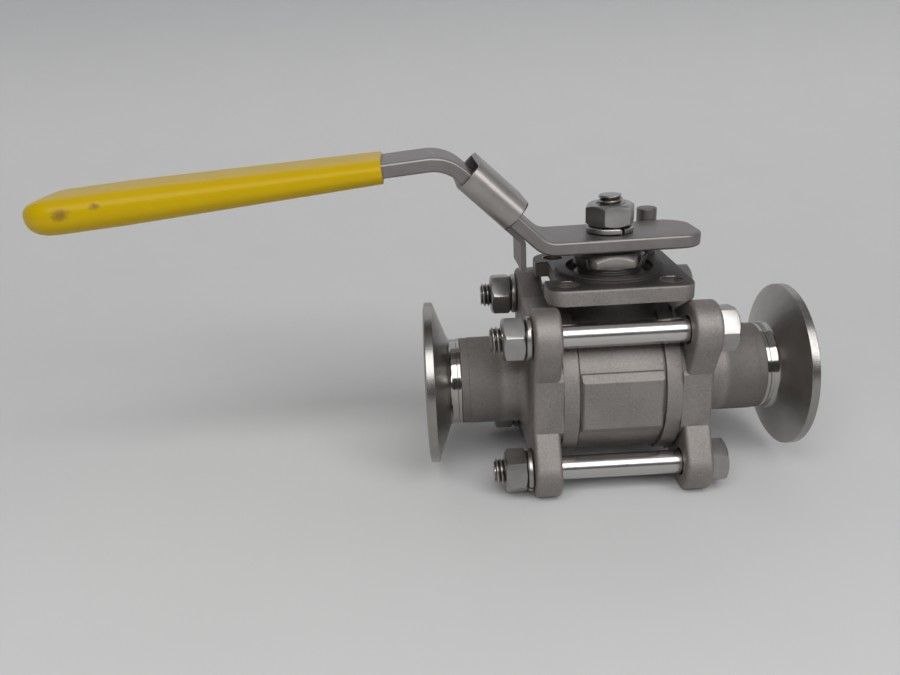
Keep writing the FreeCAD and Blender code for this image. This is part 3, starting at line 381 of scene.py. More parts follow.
def turn(piece, axis, radians):
    """Turn the piece's mesh about an axis of the valve."""
    piece.data.transform(Matrix.Rotation(radians, 4, axis))


def move(piece, offset):
    piece.data.transform(Matrix.Translation(Vector(offset)))


def paint(piece, finish):
    """Give the whole piece one finish."""
    piece.data.materials.clear()
    piece.data.materials.append(finish_named(finish))


def stand_for(piece, node, body):
    """Let a piece stand for a solid: hide the solid and let the piece ride on a body."""
    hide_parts(node)
    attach(piece, body)


def wear(piece, finish, node, body):
    """Finish a piece and let it stand for a solid."""
    paint(piece, finish)
    stand_for(piece, node, body)


def wear_solid(node, finish):
    """Finish a construction solid that shows as it is."""
    solid = frame["nodes"][node]
    if not solid.material_slots:
        raise RuntimeError("%s has no material slot" % node)
    for slot in solid.material_slots:
        slot.material = finish_named(finish)


def rounded(outline):
    """Outline of (place, radius) points from corners of (place, radius, rounding)."""
    points = []
    for index, (place, radius, rounding) in enumerate(outline):
        corner = Vector((place, radius))
        if rounding == 0:
            points.append(corner)
            continue
        back = Vector(outline[index - 1][:2]) - corner
        ahead = Vector(outline[(index + 1) % len(outline)][:2]) - corner
        half = back.angle(ahead) / 2
        start = corner + back.normalized() * (rounding / math.tan(half))
        middle = corner + (back.normalized() + ahead.normalized()).normalized() * (
            rounding / math.sin(half))
        sweep = math.pi - 2 * half
        sign = 1 if back.x * ahead.y - back.y * ahead.x < 0 else -1
        steps = 2 * max(1, round(ROUNDING_PAIRS * sweep / TURN))
        for step in range(steps + 1):
            arm = Matrix.Rotation(sign * sweep * step / steps, 2) @ (start - middle)
            points.append(middle + arm)
    return points


def spun(name, outline, axis, steps, sweep=TURN):
    """Turned piece: a closed outline drawn point by point and spun about an axis."""
    def at(point):
        return Vector((point[0], 0, point[1])) if axis == "X" else Vector((point[1], 0, point[0]))

    begin()
    bpy.ops.mesh.primitive_plane_add(size=MM, location=at(outline[0]))
    piece = added(name)
    edit(piece)
    bpy.ops.mesh.merge(type="CENTER")
    for before, after in zip(outline, outline[1:]):
        bpy.ops.mesh.extrude_region_move(
            TRANSFORM_OT_translate={"value": at(after) - at(before)})
    mesh = bmesh.from_edit_mesh(piece.data)
    for vertex in mesh.verts:
        vertex.select_set(len(vertex.link_edges) == 1)
    mesh.select_flush_mode()
    bpy.ops.mesh.edge_face_add()
    bpy.ops.mesh.select_all(action="SELECT")
    line = (1.0, 0.0, 0.0) if axis == "X" else (0.0, 0.0, 1.0)
    bpy.ops.mesh.spin(steps=steps, angle=sweep, center=(0.0, 0.0, 0.0), axis=line)
    bpy.ops.mesh.select_all(action="SELECT")
    merge_doubles()
    if sweep < TURN:
        bpy.ops.mesh.select_non_manifold()
        bpy.ops.mesh.fill_holes(sides=0)
        bpy.ops.mesh.select_all(action="SELECT")
    bpy.ops.mesh.normals_make_consistent(inside=False)
    leave()
    return piece


def solid_copy(node, name):
    """A copy of a construction solid's mesh, with its loose triangles merged."""
    piece = copy_of(frame["nodes"][node], name)
    piece.parent = None
    for key in list(piece.keys()):
        del piece[key]
    edit(piece)
    merge_doubles()
    leave()
    if piece.data.has_custom_normals:
        pick(piece)
        bpy.ops.mesh.customdata_custom_splitnormals_clear()
    return piece


def wear_copy(node, name, finish, body):
    """Let a finished copy of a construction solid stand for it."""
    piece = solid_copy(node, name)
    smooth(piece)
    wear(piece, finish, node, body)


# Shader nodes

def fill(tree, socket, value):
    """Link a value to a socket, or set the socket to a number or a colour."""
    if isinstance(value, Value):
        tree.links.new(value.socket, socket)
    elif socket.type == "RGBA":
        socket.default_value = (*value, 1.0)
    else:
        socket.default_value = value


class Value:
    """A socket that takes part in arithmetic."""

    def __init__(self, tree, socket):
        self.tree = tree
        self.socket = socket

    def maths(self, operation, *others, flipped=False):
        """Work out this value with others, which come first where flipped."""
        node = self.tree.nodes.new("ShaderNodeMath")
        node.operation = operation
        terms = (*others, self) if flipped else (self, *others)
        for socket, term in zip(node.inputs, terms):
            fill(self.tree, socket, term)
        return Value(self.tree, node.outputs[0])

    def __abs__(self):
        return self.maths("ABSOLUTE")

    def __add__(self, other):
        return self.maths("ADD", other)

    def __radd__(self, other):
        return self.maths("ADD", other)

    def __sub__(self, other):
        return self.maths("SUBTRACT", other)

    def __rsub__(self, other):
        return self.maths("SUBTRACT", other, flipped=True)

    def __mul__(self, other):
        return self.maths("MULTIPLY", other)

    def __rmul__(self, other):
        return self.maths("MULTIPLY", other)

    def __pow__(self, other):
        return self.maths("POWER", other)


def distance(*offsets):
    """Distance from a point or a line, worked out from offsets square to each other."""
    total = offsets[0] * offsets[0]
    for offset in offsets[1:]:
        total = total + offset * offset
    return total ** 0.5


class Finish:
    """A material and the nodes that make it up."""

    def __init__(self, name, **constants):
        self.material = bpy.data.materials.new(name)
        self.material.use_nodes = True
        self.tree = self.material.node_tree
        self.shader = self.tree.nodes["Principled BSDF"]
        for socket, value in constants.items():
            self.shader.inputs[socket.replace("_", " ")].default_value = value

    def node(self, kind, settings=None, output=0, **sockets):
        """Add a node: its settings first, then its sockets, by name or as _ and a number."""
        node = self.tree.nodes.new("ShaderNode" + kind)
        for name, value in (settings or {}).items():
            setattr(node, name, value)
        for name, value in sockets.items():
            socket = node.inputs[int(name[1:])] if name[0] == "_" else node.inputs[name]
            fill(self.tree, socket, value)
        return Value(self.tree, node.outputs[output])

    def place(self):
        """Object coordinates in millimetres."""
        where = self.node("TexCoord", output=3)
        return self.node("VectorMath", {"operation": "SCALE"}, Vector=where, Scale=1 / MM)

    def parts(self, vector):
        """The three coordinates of a vector."""
        outputs = self.node("SeparateXYZ", Vector=vector).socket.node.outputs
        return [Value(self.tree, socket) for socket in outputs]

    def vector(self, x, y, z):
        return self.node("CombineXYZ", X=x, Y=y, Z=z)

    def noise(self, where, scale, detail, roughness=0.55):
        """Noise from 0 to 1, with its scale in cells per millimetre."""
        return self.node("TexNoise", Vector=where, Scale=scale, Detail=detail,
                         Roughness=roughness)

    def between(self, value, start, end):
        """0 at start and 1 at end, and a smooth step from one to the other."""
        return self.node("MapRange", {"interpolation_type": "SMOOTHSTEP"}, Value=value,
                         _1=start, _2=end)

    def tint(self, factor, first, second):
        """Mix of two colours."""
        return self.node("Mix", {"data_type": "RGBA"}, output=2, _0=factor, _6=first, _7=second)

    def soft_edges(self, radius):
        """Normal that rounds the edges, by a radius in millimetres."""
        return self.node("Bevel", {"samples": 4}, Radius=radius * MM)

    def bump(self, height, strength, distance, **sockets):
        """Bump with its distance in millimetres."""
        return self.node("Bump", Height=height, Strength=strength, Distance=distance * MM,
                         **sockets)

    def feed(self, **links):
        for socket, value in links.items():
            self.tree.links.new(value.socket, self.shader.inputs[socket.replace("_", " ")])


def dimmed(tone, level):
    return tuple(channel * level for channel in tone)


# Finishes: places on the valve are in millimetres, and noise is in cells per millimetre

PAD_TOP = [mount["pos_m"][2] / MM for mount in frame["record"]["mounts"]
           if mount["name"] == "actuator_pad"][0]
BOLT_PLACE = centre_of("bolt_washer_front_top").z / MM


def casting_finish():
    """Blasted casting: fine grain, faint clouds, softened edges, a milled pad, painted shade on the
    necks and the pad's top, and a painted highlight in the pad's holes.
    """
    tone = bpy.context.scene.valve_finish.casting
    finish = Finish("blasted_casting", Metallic=1.0)
    where = finish.place()
    along, across, upward = finish.parts(where)
    clouds = finish.noise(where, 0.11, 4.0)
    grain = finish.noise(where, 1.7, 4.0, 0.8)
    pits = finish.between(finish.node("TexVoronoi", Vector=where, Scale=1.6), 0.30, 0.10)
    base = finish.tint(finish.between(clouds, 0.35, 0.68), dimmed(tone, 0.92), dimmed(tone, 1.06))
    base = finish.tint(finish.between(grain, 0.52, 0.68) * 0.6, base, dimmed(tone, 1.45))
    base = finish.tint(finish.between(grain, 0.46, 0.34) * 0.45, base, dimmed(tone, 0.55))
    # Painted shade: the end caps' necks are a little darker than the rest
    neck = (finish.between(abs(along), 33.0, 35.5)
            * finish.between(distance(across, upward), 16.5, 15.0))
    base = finish.tint(neck * 0.28, base, dimmed(tone, 0.2))
    # Painted shade on the body's neck, between the barrel and the pad's underside
    pad_under = PAD_TOP - 6.3
    shade_under_pad = (finish.between(upward, 20.0, 23.0)
              * finish.between(upward, pad_under, pad_under - 0.6)
              * finish.between(distance(along, across), 24.0, 19.0))
    base = finish.tint(shade_under_pad * 0.75, base, dimmed(tone, 0.2))
    # The pad's top is milled, and its darker colour is painted shade from the lever over it
    milled_and_shaded = finish.between(upward, PAD_TOP - 0.6, PAD_TOP - 0.15)
    base = finish.tint(milled_and_shaded * 0.85, base, dimmed(tone, 0.3))
    # The pad's four holes are drilled, one of them for the stop pin. Their bores are paler: partly
    # bare drilled metal, partly a painted highlight where their walls catch the light
    pin = centre_of("stop_pin") / MM
    drilled_with_painted_glint = finish.between(distance(abs(along) - pin.x, abs(across) - pin.y), 3.35, 3.15)
    base = finish.tint(drilled_with_painted_glint, base, dimmed(tone, 1.6))
    rough = 0.55 + clouds * 0.08 + grain * 0.06 - drilled_with_painted_glint * 0.25 + neck * 0.14 - milled_and_shaded * 0.12
    height = grain * 0.7 + pits * -0.5 + clouds * 0.8
    finish.feed(Base_Color=base, Roughness=rough,
                Normal=finish.bump(height, 0.6, 0.06, Normal=finish.soft_edges(0.30)))
    return finish.material


def turned_finish():
    """Turned stainless: fine rings left by the tool, and a bright polished stub."""
    tone = bpy.context.scene.valve_finish.turned
    finish = Finish("turned_steel", Metallic=1.0)
    where = finish.place()
    along, across, upward = finish.parts(where)
    out, radius = abs(along), distance(across, upward)
    stub = finish.between(out, 50.2, 49.6) * finish.between(radius, 14.6, 13.8)
    rim = finish.between(out, 54.1, 54.4)
    clouds = finish.noise(where, 0.16, 4.0)
    base = finish.tint(finish.between(clouds, 0.35, 0.7), dimmed(tone, 0.92), dimmed(tone, 1.05))
    base = finish.tint(rim * 0.25, base, dimmed(tone, 0.3))
    rough = 0.27 + clouds * 0.10 - stub * 0.20 - rim * 0.06
    rings = finish.noise(finish.vector(out * 7.0, radius * 7.0, 0.0), 1.0, 3.0, 0.7)
    height = rings * (1.0 - stub * 0.8)
    finish.feed(Base_Color=base, Roughness=rough, Normal=finish.bump(height, 0.6, 0.05))
    return finish.material


def fastener_finish():
    """Cold formed stainless: bright drawn shanks, satin hexagons, and thread roots darkened with
    painted shade.
    """
    colours = bpy.context.scene.valve_finish
    tone = colours.fastener
    finish = Finish("bright_stainless", Metallic=1.0)
    where = finish.place()
    along, across, upward = finish.parts(where)
    # Masks round the bolts' axes
    radius = distance(abs(across) - BOLT_PLACE, abs(upward) - BOLT_PLACE)
    bolt_end = low("bolt_front_top").x / MM
    shank = finish.between(radius, 3.9, 3.7) * finish.between(abs(along), 26.0, 25.0)
    thread = finish.between(along, -32.0, -34.0) * finish.between(radius, 4.4, 4.1)
    bolt_root = (thread * finish.between(radius, 3.70, 3.25)
                 * finish.between(along, bolt_end + 0.3, bolt_end + 0.6))
    # Masks round the stem's axis, from the handle nut's top up
    from_stem = distance(along, across)
    nut_top, stem_end = high("handle_nut").z / MM, high("stem").z / MM
    stem_root = (finish.between(upward, nut_top - 1.5, nut_top - 0.5)
                 * finish.between(from_stem, 4.4, 4.1) * finish.between(from_stem, 3.65, 3.15)
                 * finish.between(upward, stem_end - 0.3, stem_end - 0.6))
    clouds = finish.noise(where, 0.3, 4.0)
    base = finish.tint(finish.between(clouds, 0.3, 0.7), dimmed(tone, 0.94), dimmed(tone, 1.04))
    base = finish.tint(shank, base, dimmed(tone, 1.48))
    base = finish.tint(thread, base, dimmed(tone, 1.35))
    # Painted shade: the bottoms of the threads are darkened
    base = finish.tint((bolt_root + stem_root) * 0.85, base, colours.thread_root_shade)
    rough = 0.30 + clouds * 0.06 - shank * 0.10
    grain = finish.noise(finish.vector(along * 1.5, across * 5.0, upward * 5.0), 1.0, 2.0)
    finish.feed(Base_Color=base, Roughness=rough, Normal=finish.bump(grain, 0.25, 0.006))
    return finish.material


def strip_finish(name, level, smoothest):
    """Tumbled strip: soft grain with short scratches along the lever."""
    tone = dimmed(bpy.context.scene.valve_finish.strip, level)
    finish = Finish(name, Metallic=1.0)
    where = finish.place()
    along, across, upward = finish.parts(where)
    clouds = finish.noise(where, 0.14, 4.0)
    grain = finish.noise(where, 2.6, 3.0)
    scratches = finish.noise(finish.vector(along * 0.35, across * 5.0, upward * 5.0), 1.0, 2.0)
    base = finish.tint(finish.between(clouds, 0.35, 0.7), dimmed(tone, 0.92), dimmed(tone, 1.05))
    rough = smoothest + clouds * 0.10 + grain * 0.06
    height = grain + scratches * 0.6
    finish.feed(Base_Color=base, Roughness=rough,
                Normal=finish.bump(height, 0.4, 0.03, Normal=finish.soft_edges(0.25)))
    return finish.material


def ball_finish():
    """Mirror polished ball."""
    tone = bpy.context.scene.valve_finish.ball
    finish = Finish("mirror_ball", Metallic=1.0)
    clouds = finish.noise(finish.place(), 0.2, 3.0)
    base = finish.tint(clouds, dimmed(tone, 0.96), dimmed(tone, 1.03))
    finish.feed(Base_Color=base, Roughness=0.06 + clouds * 0.05)
    return finish.material


def seal_finish():
    """White sealing plastic with a waxy surface."""
    tone = bpy.context.scene.valve_finish.seal
    finish = Finish("white_seal", Roughness=0.4)
    clouds = finish.noise(finish.place(), 0.4, 3.0)
    base = finish.tint(clouds, dimmed(tone, 0.94), tone)
    finish.feed(Base_Color=base, Normal=finish.bump(clouds, 0.2, 0.02))
    return finish.material


# Centres and radii of the rubbed spots near the tip
RUBBED_SPOTS = (((-151.5, -18.0, 62.5), 3.8), ((-142.5, -18.2, 64.5), 2.2))


def vinyl_finish():
    """Dipped vinyl: glossy, faintly wavy, with rubbed spots near the tip."""
    colours = bpy.context.scene.valve_finish
    tone = colours.vinyl
    finish = Finish("dipped_vinyl", Roughness=0.32, Coat_Roughness=0.16, Specular_IOR_Level=0.14)
    where = finish.place()
    waves = finish.noise(where, 0.10, 2.0)
    grain = finish.noise(where, 1.8, 3.0)
    patches = finish.noise(where, 0.5, 5.0, 0.7)
    base = finish.tint(waves, dimmed(tone, 0.94), tone)
    for centre, size in RUBBED_SPOTS:
        along, across, upward = (part - middle for part, middle
                                 in zip(finish.parts(where), centre))
        away = distance(along * 0.4 ** 0.5, across, upward)
        spot = finish.between(away, size, 0.0)
        ragged = finish.between(spot * 0.6 + patches, 0.70, 1.05) * spot
        base = finish.tint(ragged * 0.8, base, colours.rub)
    finish.feed(Base_Color=base, Coat_Weight=0.02 + waves * 0.04,
                Normal=finish.bump(waves + grain * 0.04, 0.3, 0.5))
    return finish.material


# Each finish's function, and for strips their material, brightness and least roughness
FINISHES = {
    "casting": (casting_finish,),
    "turned": (turned_finish,),
    "fastener": (fastener_finish,),
    "strip": (strip_finish, "tumbled_strip", 1.0, 0.38),
    "sleeve": (strip_finish, "pressed_sleeve", 1.42, 0.31),
    # Darker stained steel, which also serves as painted shade on the springs and the tab washer
    # under the gland nut
    "stained_and_shaded": (strip_finish, "stained_steel", 0.75, 0.36),
    "dull": (strip_finish, "dull_nut", 1.5, 0.50),
    "ball": (ball_finish,),
    "seal": (seal_finish,),
    "vinyl": (vinyl_finish,),
}
made_finishes = {}


def finish_named(name):
    """The material of a finish, made when it is first asked for."""
    if name not in made_finishes:
        make, *settings = FINISHES[name]
        made_finishes[name] = make(*settings)
    return made_finishes[name]


# Ferrules

def model_ferrule(name):
    """The right ferrule, turned from one outline."""
    size = bpy.context.scene.valve_ferrule
    start, face = low("ferrule_right").x, high("ferrule_right").x
    edge = high("ferrule_right").z
    rim = face - size.rim
    cone_foot = rim - (edge - size.stub) * math.tan(size.cone)
    bead_top, bead_end = size.stub + size.bead, start + size.bead_width
    bead_side, bead_round = size.bead_width * size.bead_side, size.bead_width * size.bead_round
    outline = rounded([
        (start, size.bore, 0), (start, size.stub, 0), (start + bead_side, bead_top, bead_round),
        (bead_end - bead_side, bead_top, bead_round), (bead_end, size.stub, size.bead_foot),
        (cone_foot, size.stub, size.root), (rim, edge, size.rim_edge),
        (face, edge, size.face_edge)])
    for step in range(size.groove_steps + 1):
        swing = math.pi * step / size.groove_steps
        outline.append((face - size.groove * math.sin(swing),
                        size.groove_place + size.groove * math.cos(swing)))
    outline += rounded([(face, size.groove_place - size.groove, 0),
                        (face, size.bore, size.bore_edge), (start, size.bore, 0)])[1:-1]
    piece = spun(name, outline, "X", size.steps)
    smooth(piece, degrees=22.0)
    return piece


class VALVE_OT_ferrules(bpy.types.Operator):
    """Turn the two clamp ferrules"""

    bl_idname = "valve.ferrules"
    bl_label = "Clamp Ferrules"

    def execute(self, context):
        right = model_ferrule("ferrule_turned_right")
        left = copy_of(right, "ferrule_turned_left")
        turn(left, "Z", math.pi)
        for piece, node in ((right, "ferrule_right"), (left, "ferrule_left")):
            wear(piece, "turned", node, "valve")
        return {"FINISHED"}


# Castings

class VALVE_OT_castings(bpy.types.Operator):
    """Finish the centre body and the two end caps"""

    bl_idname = "valve.castings"
    bl_label = "Castings"

    def execute(self, context):
        for node in ("centre_body", "end_cap_left", "end_cap_right"):
            wear_copy(node, node + "_cast", "casting", "valve")
        return {"FINISHED"}


# Fasteners

def hexagon(name, axis, flats, start, end, hole, slope=None, chamfer_low=True):
    """Hexagon with corners turned down, and a countersunk hole unless hole is 0."""
    size = bpy.context.scene.valve_fastener
    corner, middle = flats / math.sqrt(3), (start + end) / 2
    begin()
    bpy.ops.mesh.primitive_cylinder_add(
        vertices=6, radius=corner, depth=end - start,
        location=(middle, 0, 0) if axis == "X" else (0, 0, middle),
        rotation=(0.0, TURN / 4, 0.0) if axis == "X" else (0.0, 0.0, TURN / 12))
    piece = added(name)
    wide, flat = corner + MM, flats / 2 * size.chamfer_share
    rise = (wide - flat) * math.tan(slope or size.chamfer)
    if chamfer_low:
        outline = [(start, 0), (start, flat), (start + rise, wide)]
    else:
        outline = [(start - MM, 0), (start - MM, wide)]
    outline += [(end - rise, wide), (end, flat), (end, 0)]
    if hole:
        sink, first = size.countersink, outline[0][0]
        outline[0] = (first, hole + sink + start - first)
        outline.insert(0, (start + sink, hole))
        outline[-1] = (end, hole + sink)
        outline.append((end - sink, hole))
    combine(piece, spun("turned_corners", outline, axis, size.steps), "INTERSECT")
    soften(piece, size.edge, 2, size.edge_angle)
    smooth(piece)
    return piece


def cylindrical(point, axis):
    """Place along an axis, distance from it and angle about it."""
    if axis == "X":
        return point.x, math.hypot(point.y, point.z), math.atan2(point.z, point.y)
    return point.z, math.hypot(point.x, point.y), math.atan2(point.y, point.x)


def set_radius(vertex, axis, radius):
    """Move a vertex to a distance from an axis."""
    factor = radius / cylindrical(vertex.co, axis)[1]
    for line in ((1, 2) if axis == "X" else (0, 1)):
        vertex.co[line] *= factor


# How steep a thread's flanks are, and how much of its crest stays flat
FLANK = 1.35
CREST = 0.2


def cut_thread(piece, axis, start, end, outer):
    """Move a rod's side between two places to a helical thread."""
    size = bpy.context.scene.valve_fastener
    inside = outer * 0.6
    for vertex in piece.data.vertices:
        place, radius, swing = cylindrical(vertex.co, axis)
        if not start <= place <= end or radius < inside:
            continue
        phase = (place / size.pitch - swing / TURN) % 1.0
        valley = max(0.0, min(1.0, abs(2 * phase - 1) * FLANK - CREST))
        fade = min(1.0, (place - start) / size.pitch)
        set_radius(vertex, axis, min(radius, outer) - size.depth * valley * fade)
    piece.data.update()


def threaded_rod(name, axis, start, end, radius, taper):
    """A rod with a thread from its start to its end, where it tapers at a slope."""
    size = bpy.context.scene.valve_fastener
    tip = radius - size.point
    count = round((end - start) / size.pitch * size.thread_rings)
    outline = [(start, 0), (start, radius)]
    for step in range(1, count):
        place = start + (end - start) * step / count
        outline.append((place, min(radius, tip + (end - place) * taper)))
    outline += [(end, tip), (end, 0)]
    rod = spun(name, outline, axis, size.thread_steps)
    cut_thread(rod, axis, start + HAIR, end - HAIR, radius)
    return rod


def model_bolt(name):
    """Bolt on the X axis: thread at the left, then the shank, and a hexagon head at the right."""
    size = bpy.context.scene.valve_fastener
    point, head_end = low("bolt_front_top").x, high("bolt_front_top").x
    seat = -high("bolt_washer_front_top").x
    head = hexagon(name, "X", size.bolt_flats, seat, head_end, 0, chamfer_low=False)
    thread_start = point + size.thread_run
    shank = spun("shank", [(thread_start - MM, 0), (thread_start - MM, size.shank),
                           (seat + MM, size.shank), (seat + MM, 0)], "X", size.steps)
    rod = threaded_rod("thread", "X", -thread_start, -point, size.thread, size.bolt_taper)
    turn(rod, "Z", math.pi)
    combine(shank, rod, "UNION")
    combine(head, shank, "UNION")
    smooth(head)
    return head


def spring_washer(name, axis, start, end, inner, outer):
    """Spring washer: a split ring with its ends standing a little apart."""
    size = bpy.context.scene.valve_fastener
    middle, half = (start + end) / 2, (end - start - size.spread) / 2
    gap = size.split / ((inner + outer) / 2)
    ring = spun(name, rounded([
        (middle - half, inner, size.wire / 2), (middle - half, outer, size.wire),
        (middle + half, outer, size.wire), (middle + half, inner, size.wire / 2)]),
        axis, size.steps, TURN - gap)
    line = "XYZ".index(axis)
    for vertex in ring.data.vertices:
        turned = cylindrical(vertex.co, axis)[2] / TURN % 1.0
        vertex.co[line] += size.spread * (turned - 0.5)
    smooth(ring)
    return ring


# How far each bolt's head and nut are turned, in degrees
BOLT_TURNS = {
    "front_top": (54.3, 38.8),
    "front_bottom": (24.5, 16.9),
    "rear_top": (31.0, 50.1),
    "rear_bottom": (12.0, 43.0),
}


class VALVE_OT_bolts(bpy.types.Operator):
    """Model the four bolts with their nuts and spring washers"""

    bl_idname = "valve.bolts"
    bl_label = "Bolts, Nuts and Washers"

    def execute(self, context):
        size = context.scene.valve_fastener
        bolt = model_bolt("bolt_model")
        nut = hexagon("nut_model", "X", size.bolt_flats, low("bolt_nut_front_top").x,
                      high("bolt_nut_front_top").x, size.thread + size.hole_room)
        lowest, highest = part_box("bolt_washer_front_top")
        washer = spring_washer("washer_model", "X", lowest.x, highest.x,
                               size.thread + size.washer_room, (highest.z - lowest.z) / 2)
        for corner, degrees in BOLT_TURNS.items():
            axis = centre_of("bolt_washer_" + corner)
            head_turn, nut_turn = (math.radians(value) for value in degrees)
            for model, made, node, turned in (
                    (bolt, "bolt_made_", "bolt_", head_turn),
                    (nut, "nut_made_", "bolt_nut_", nut_turn),
                    (washer, "washer_made_", "bolt_washer_", nut_turn + size.split_lag)):
                piece = copy_of(model, made + corner)
                turn(piece, "X", turned)
                move(piece, (0, axis.y, axis.z))
                wear(piece, "fastener", node + corner, "valve")
        for model in (bolt, nut, washer):
            bpy.data.objects.remove(model)
        return {"FINISHED"}


class VALVE_OT_gland(bpy.types.Operator):
    """Model the gland nut and finish the springs and the tab washer under it"""

    bl_idname = "valve.gland"
    bl_label = "Gland"

    def execute(self, context):
        size = context.scene.valve_fastener
        nut = hexagon("gland_nut_made", "Z", size.gland_flats, low("gland_nut").z,
                      high("gland_nut").z, size.gland_hole, size.gland_chamfer,
                      chamfer_low=False)
        wear(nut, "dull", "gland_nut", "handle")
        # The springs and the tab washer under the gland nut are darkened: painted shade
        for node in ("disc_spring_lower", "disc_spring_upper", "tab_washer"):
            wear_copy(node, node + "_made", "stained_and_shaded", "handle")
        return {"FINISHED"}


class VALVE_OT_stem(bpy.types.Operator):
    """Cut the thread on the stem and model the nut and spring washer on it"""

    bl_idname = "valve.stem"
    bl_label = "Stem and Handle Nut"

    def execute(self, context):
        size = context.scene.valve_fastener
        cut = high("handle_nut").z - size.stem_hidden
        stem = solid_copy("stem", "stem_made")
        edit(stem)
        bpy.ops.mesh.bisect(plane_co=(0, 0, cut), plane_no=(0, 0, 1), clear_outer=True,
                            use_fill=True)
        leave()
        rod = threaded_rod("stem_thread", "Z", cut - MM, high("stem").z, size.stem_thread,
                           size.stem_taper)
        combine(stem, rod, "UNION")
        smooth(stem)
        nut = hexagon("handle_nut_made", "Z", size.handle_flats, low("handle_nut").z,
                      high("handle_nut").z, size.stem_thread + size.hole_room)
        turn(nut, "Z", size.handle_nut_turn)
        washer = spring_washer("handle_washer_made", "Z", low("handle_washer").z,
                               high("handle_washer").z, size.stem_thread + size.washer_room,
                               size.handle_washer)
        turn(washer, "Z", size.handle_split_turn)
        for piece, node in ((stem, "stem"), (nut, "handle_nut"), (washer, "handle_washer")):
            wear(piece, "fastener", node, "handle")
        return {"FINISHED"}


class VALVE_OT_stop_pin(bpy.types.Operator):
    """Turn the stop pin with its chamfered end"""

    bl_idname = "valve.stop_pin"
    bl_label = "Stop Pin"

    def execute(self, context):
        size = context.scene.valve_fastener
        lowest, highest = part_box("stop_pin")
        centre, radius = centre_of("stop_pin"), (highest.x - lowest.x) / 2
        pin = spun("stop_pin_made", rounded([
            (lowest.z, 0, 0), (lowest.z, radius, size.pin_foot),
            (highest.z - size.pin_rise, radius, size.pin_edge),
            (highest.z, radius - size.pin_inset, size.pin_edge), (highest.z, 0, 0)]),
            "Z", size.pin_steps)
        move(pin, (centre.x, centre.y, 0))
        smooth(pin)
        wear(pin, "stained_and_shaded", "stop_pin", "valve")
        return {"FINISHED"}


# Handle

class VALVE_OT_lever(bpy.types.Operator):
    """Finish the bent lever and the sliding lock sleeve"""

    bl_idname = "valve.lever"
    bl_label = "Lever and Lock Sleeve"

    def execute(self, context):
        size = context.scene.valve_handle
        lever = solid_copy("lever", "lever_made")
        combine(lever, self.slab(size), "INTERSECT")
        smooth(lever)
        wear(lever, "strip", "lever", "handle")
        sleeve = solid_copy("lock_sleeve", "lock_sleeve_made")
        self.round_sleeve(sleeve, size)
        smooth(sleeve)
        stand_for(sleeve, "lock_sleeve", "sleeve")
        return {"FINISHED"}

    def slab(self, size):
        """A slab over the whole lever, with the rear corner of its short end rounded."""
        tail, far = high("lever").x, low("lever").x - MM
        tall = 100 * MM
        slab = block("lever_slab", ((tail + far) / 2, 0.0, high("lever").z),
                     (tail - far, size.strip_width + 2 * HAIR, tall))
        round_edges(slab, size.tail, size.tail_steps, lambda one, other: (
            min(one.x, other.x) > tail - MM and abs(one.z - other.z) > MM and one.y > 0))
        turn(slab, "Z", size.heading - math.pi)
        return slab

    def round_sleeve(self, sleeve, size):
        """Round the sleeve's sides fully, with its axis laid along X, and finish its tongue."""
        upright = Matrix.Rotation(size.heading, 4, "Z") @ Matrix.Rotation(-size.slope, 4, "Y")
        sleeve.data.transform(upright.inverted())
        # The tube's box, without the tongue that hangs below it
        corners = [vertex.co.copy() for vertex in sleeve.data.vertices]
        top = max(corner.z for corner in corners)
        crown = [corner.x for corner in corners if corner.z > top - HAIR]
        start, end = min(crown), max(crown)
        left, right = min(corner.y for corner in corners), max(corner.y for corner in corners)
        tongue = copy_of(sleeve, "tongue")
        for part, is_tongue in ((sleeve, False), (tongue, True)):
            edit(part)
            bpy.ops.mesh.bisect(plane_co=(start - 2 * HAIR, 0, 0), plane_no=(1, 0, 0),
                                clear_outer=is_tongue, clear_inner=not is_tongue, use_fill=True)
            leave()
        height = 2 * (size.sleeve_side + 2 * HAIR)
        bar = block("sleeve_bar", ((start + end) / 2, (left + right) / 2, top - height / 2),
                    (end - start + 2 * MM, right - left, height))
        round_edges(bar, size.sleeve_side, size.sleeve_steps,
                    lambda one, other: abs(one.x - other.x) > MM)
        combine(sleeve, bar, "INTERSECT")
        paint(sleeve, "sleeve")
        paint(tongue, "stained_and_shaded")
        pick(sleeve, tongue)
        bpy.ops.object.join()
        sleeve.data.transform(upright)


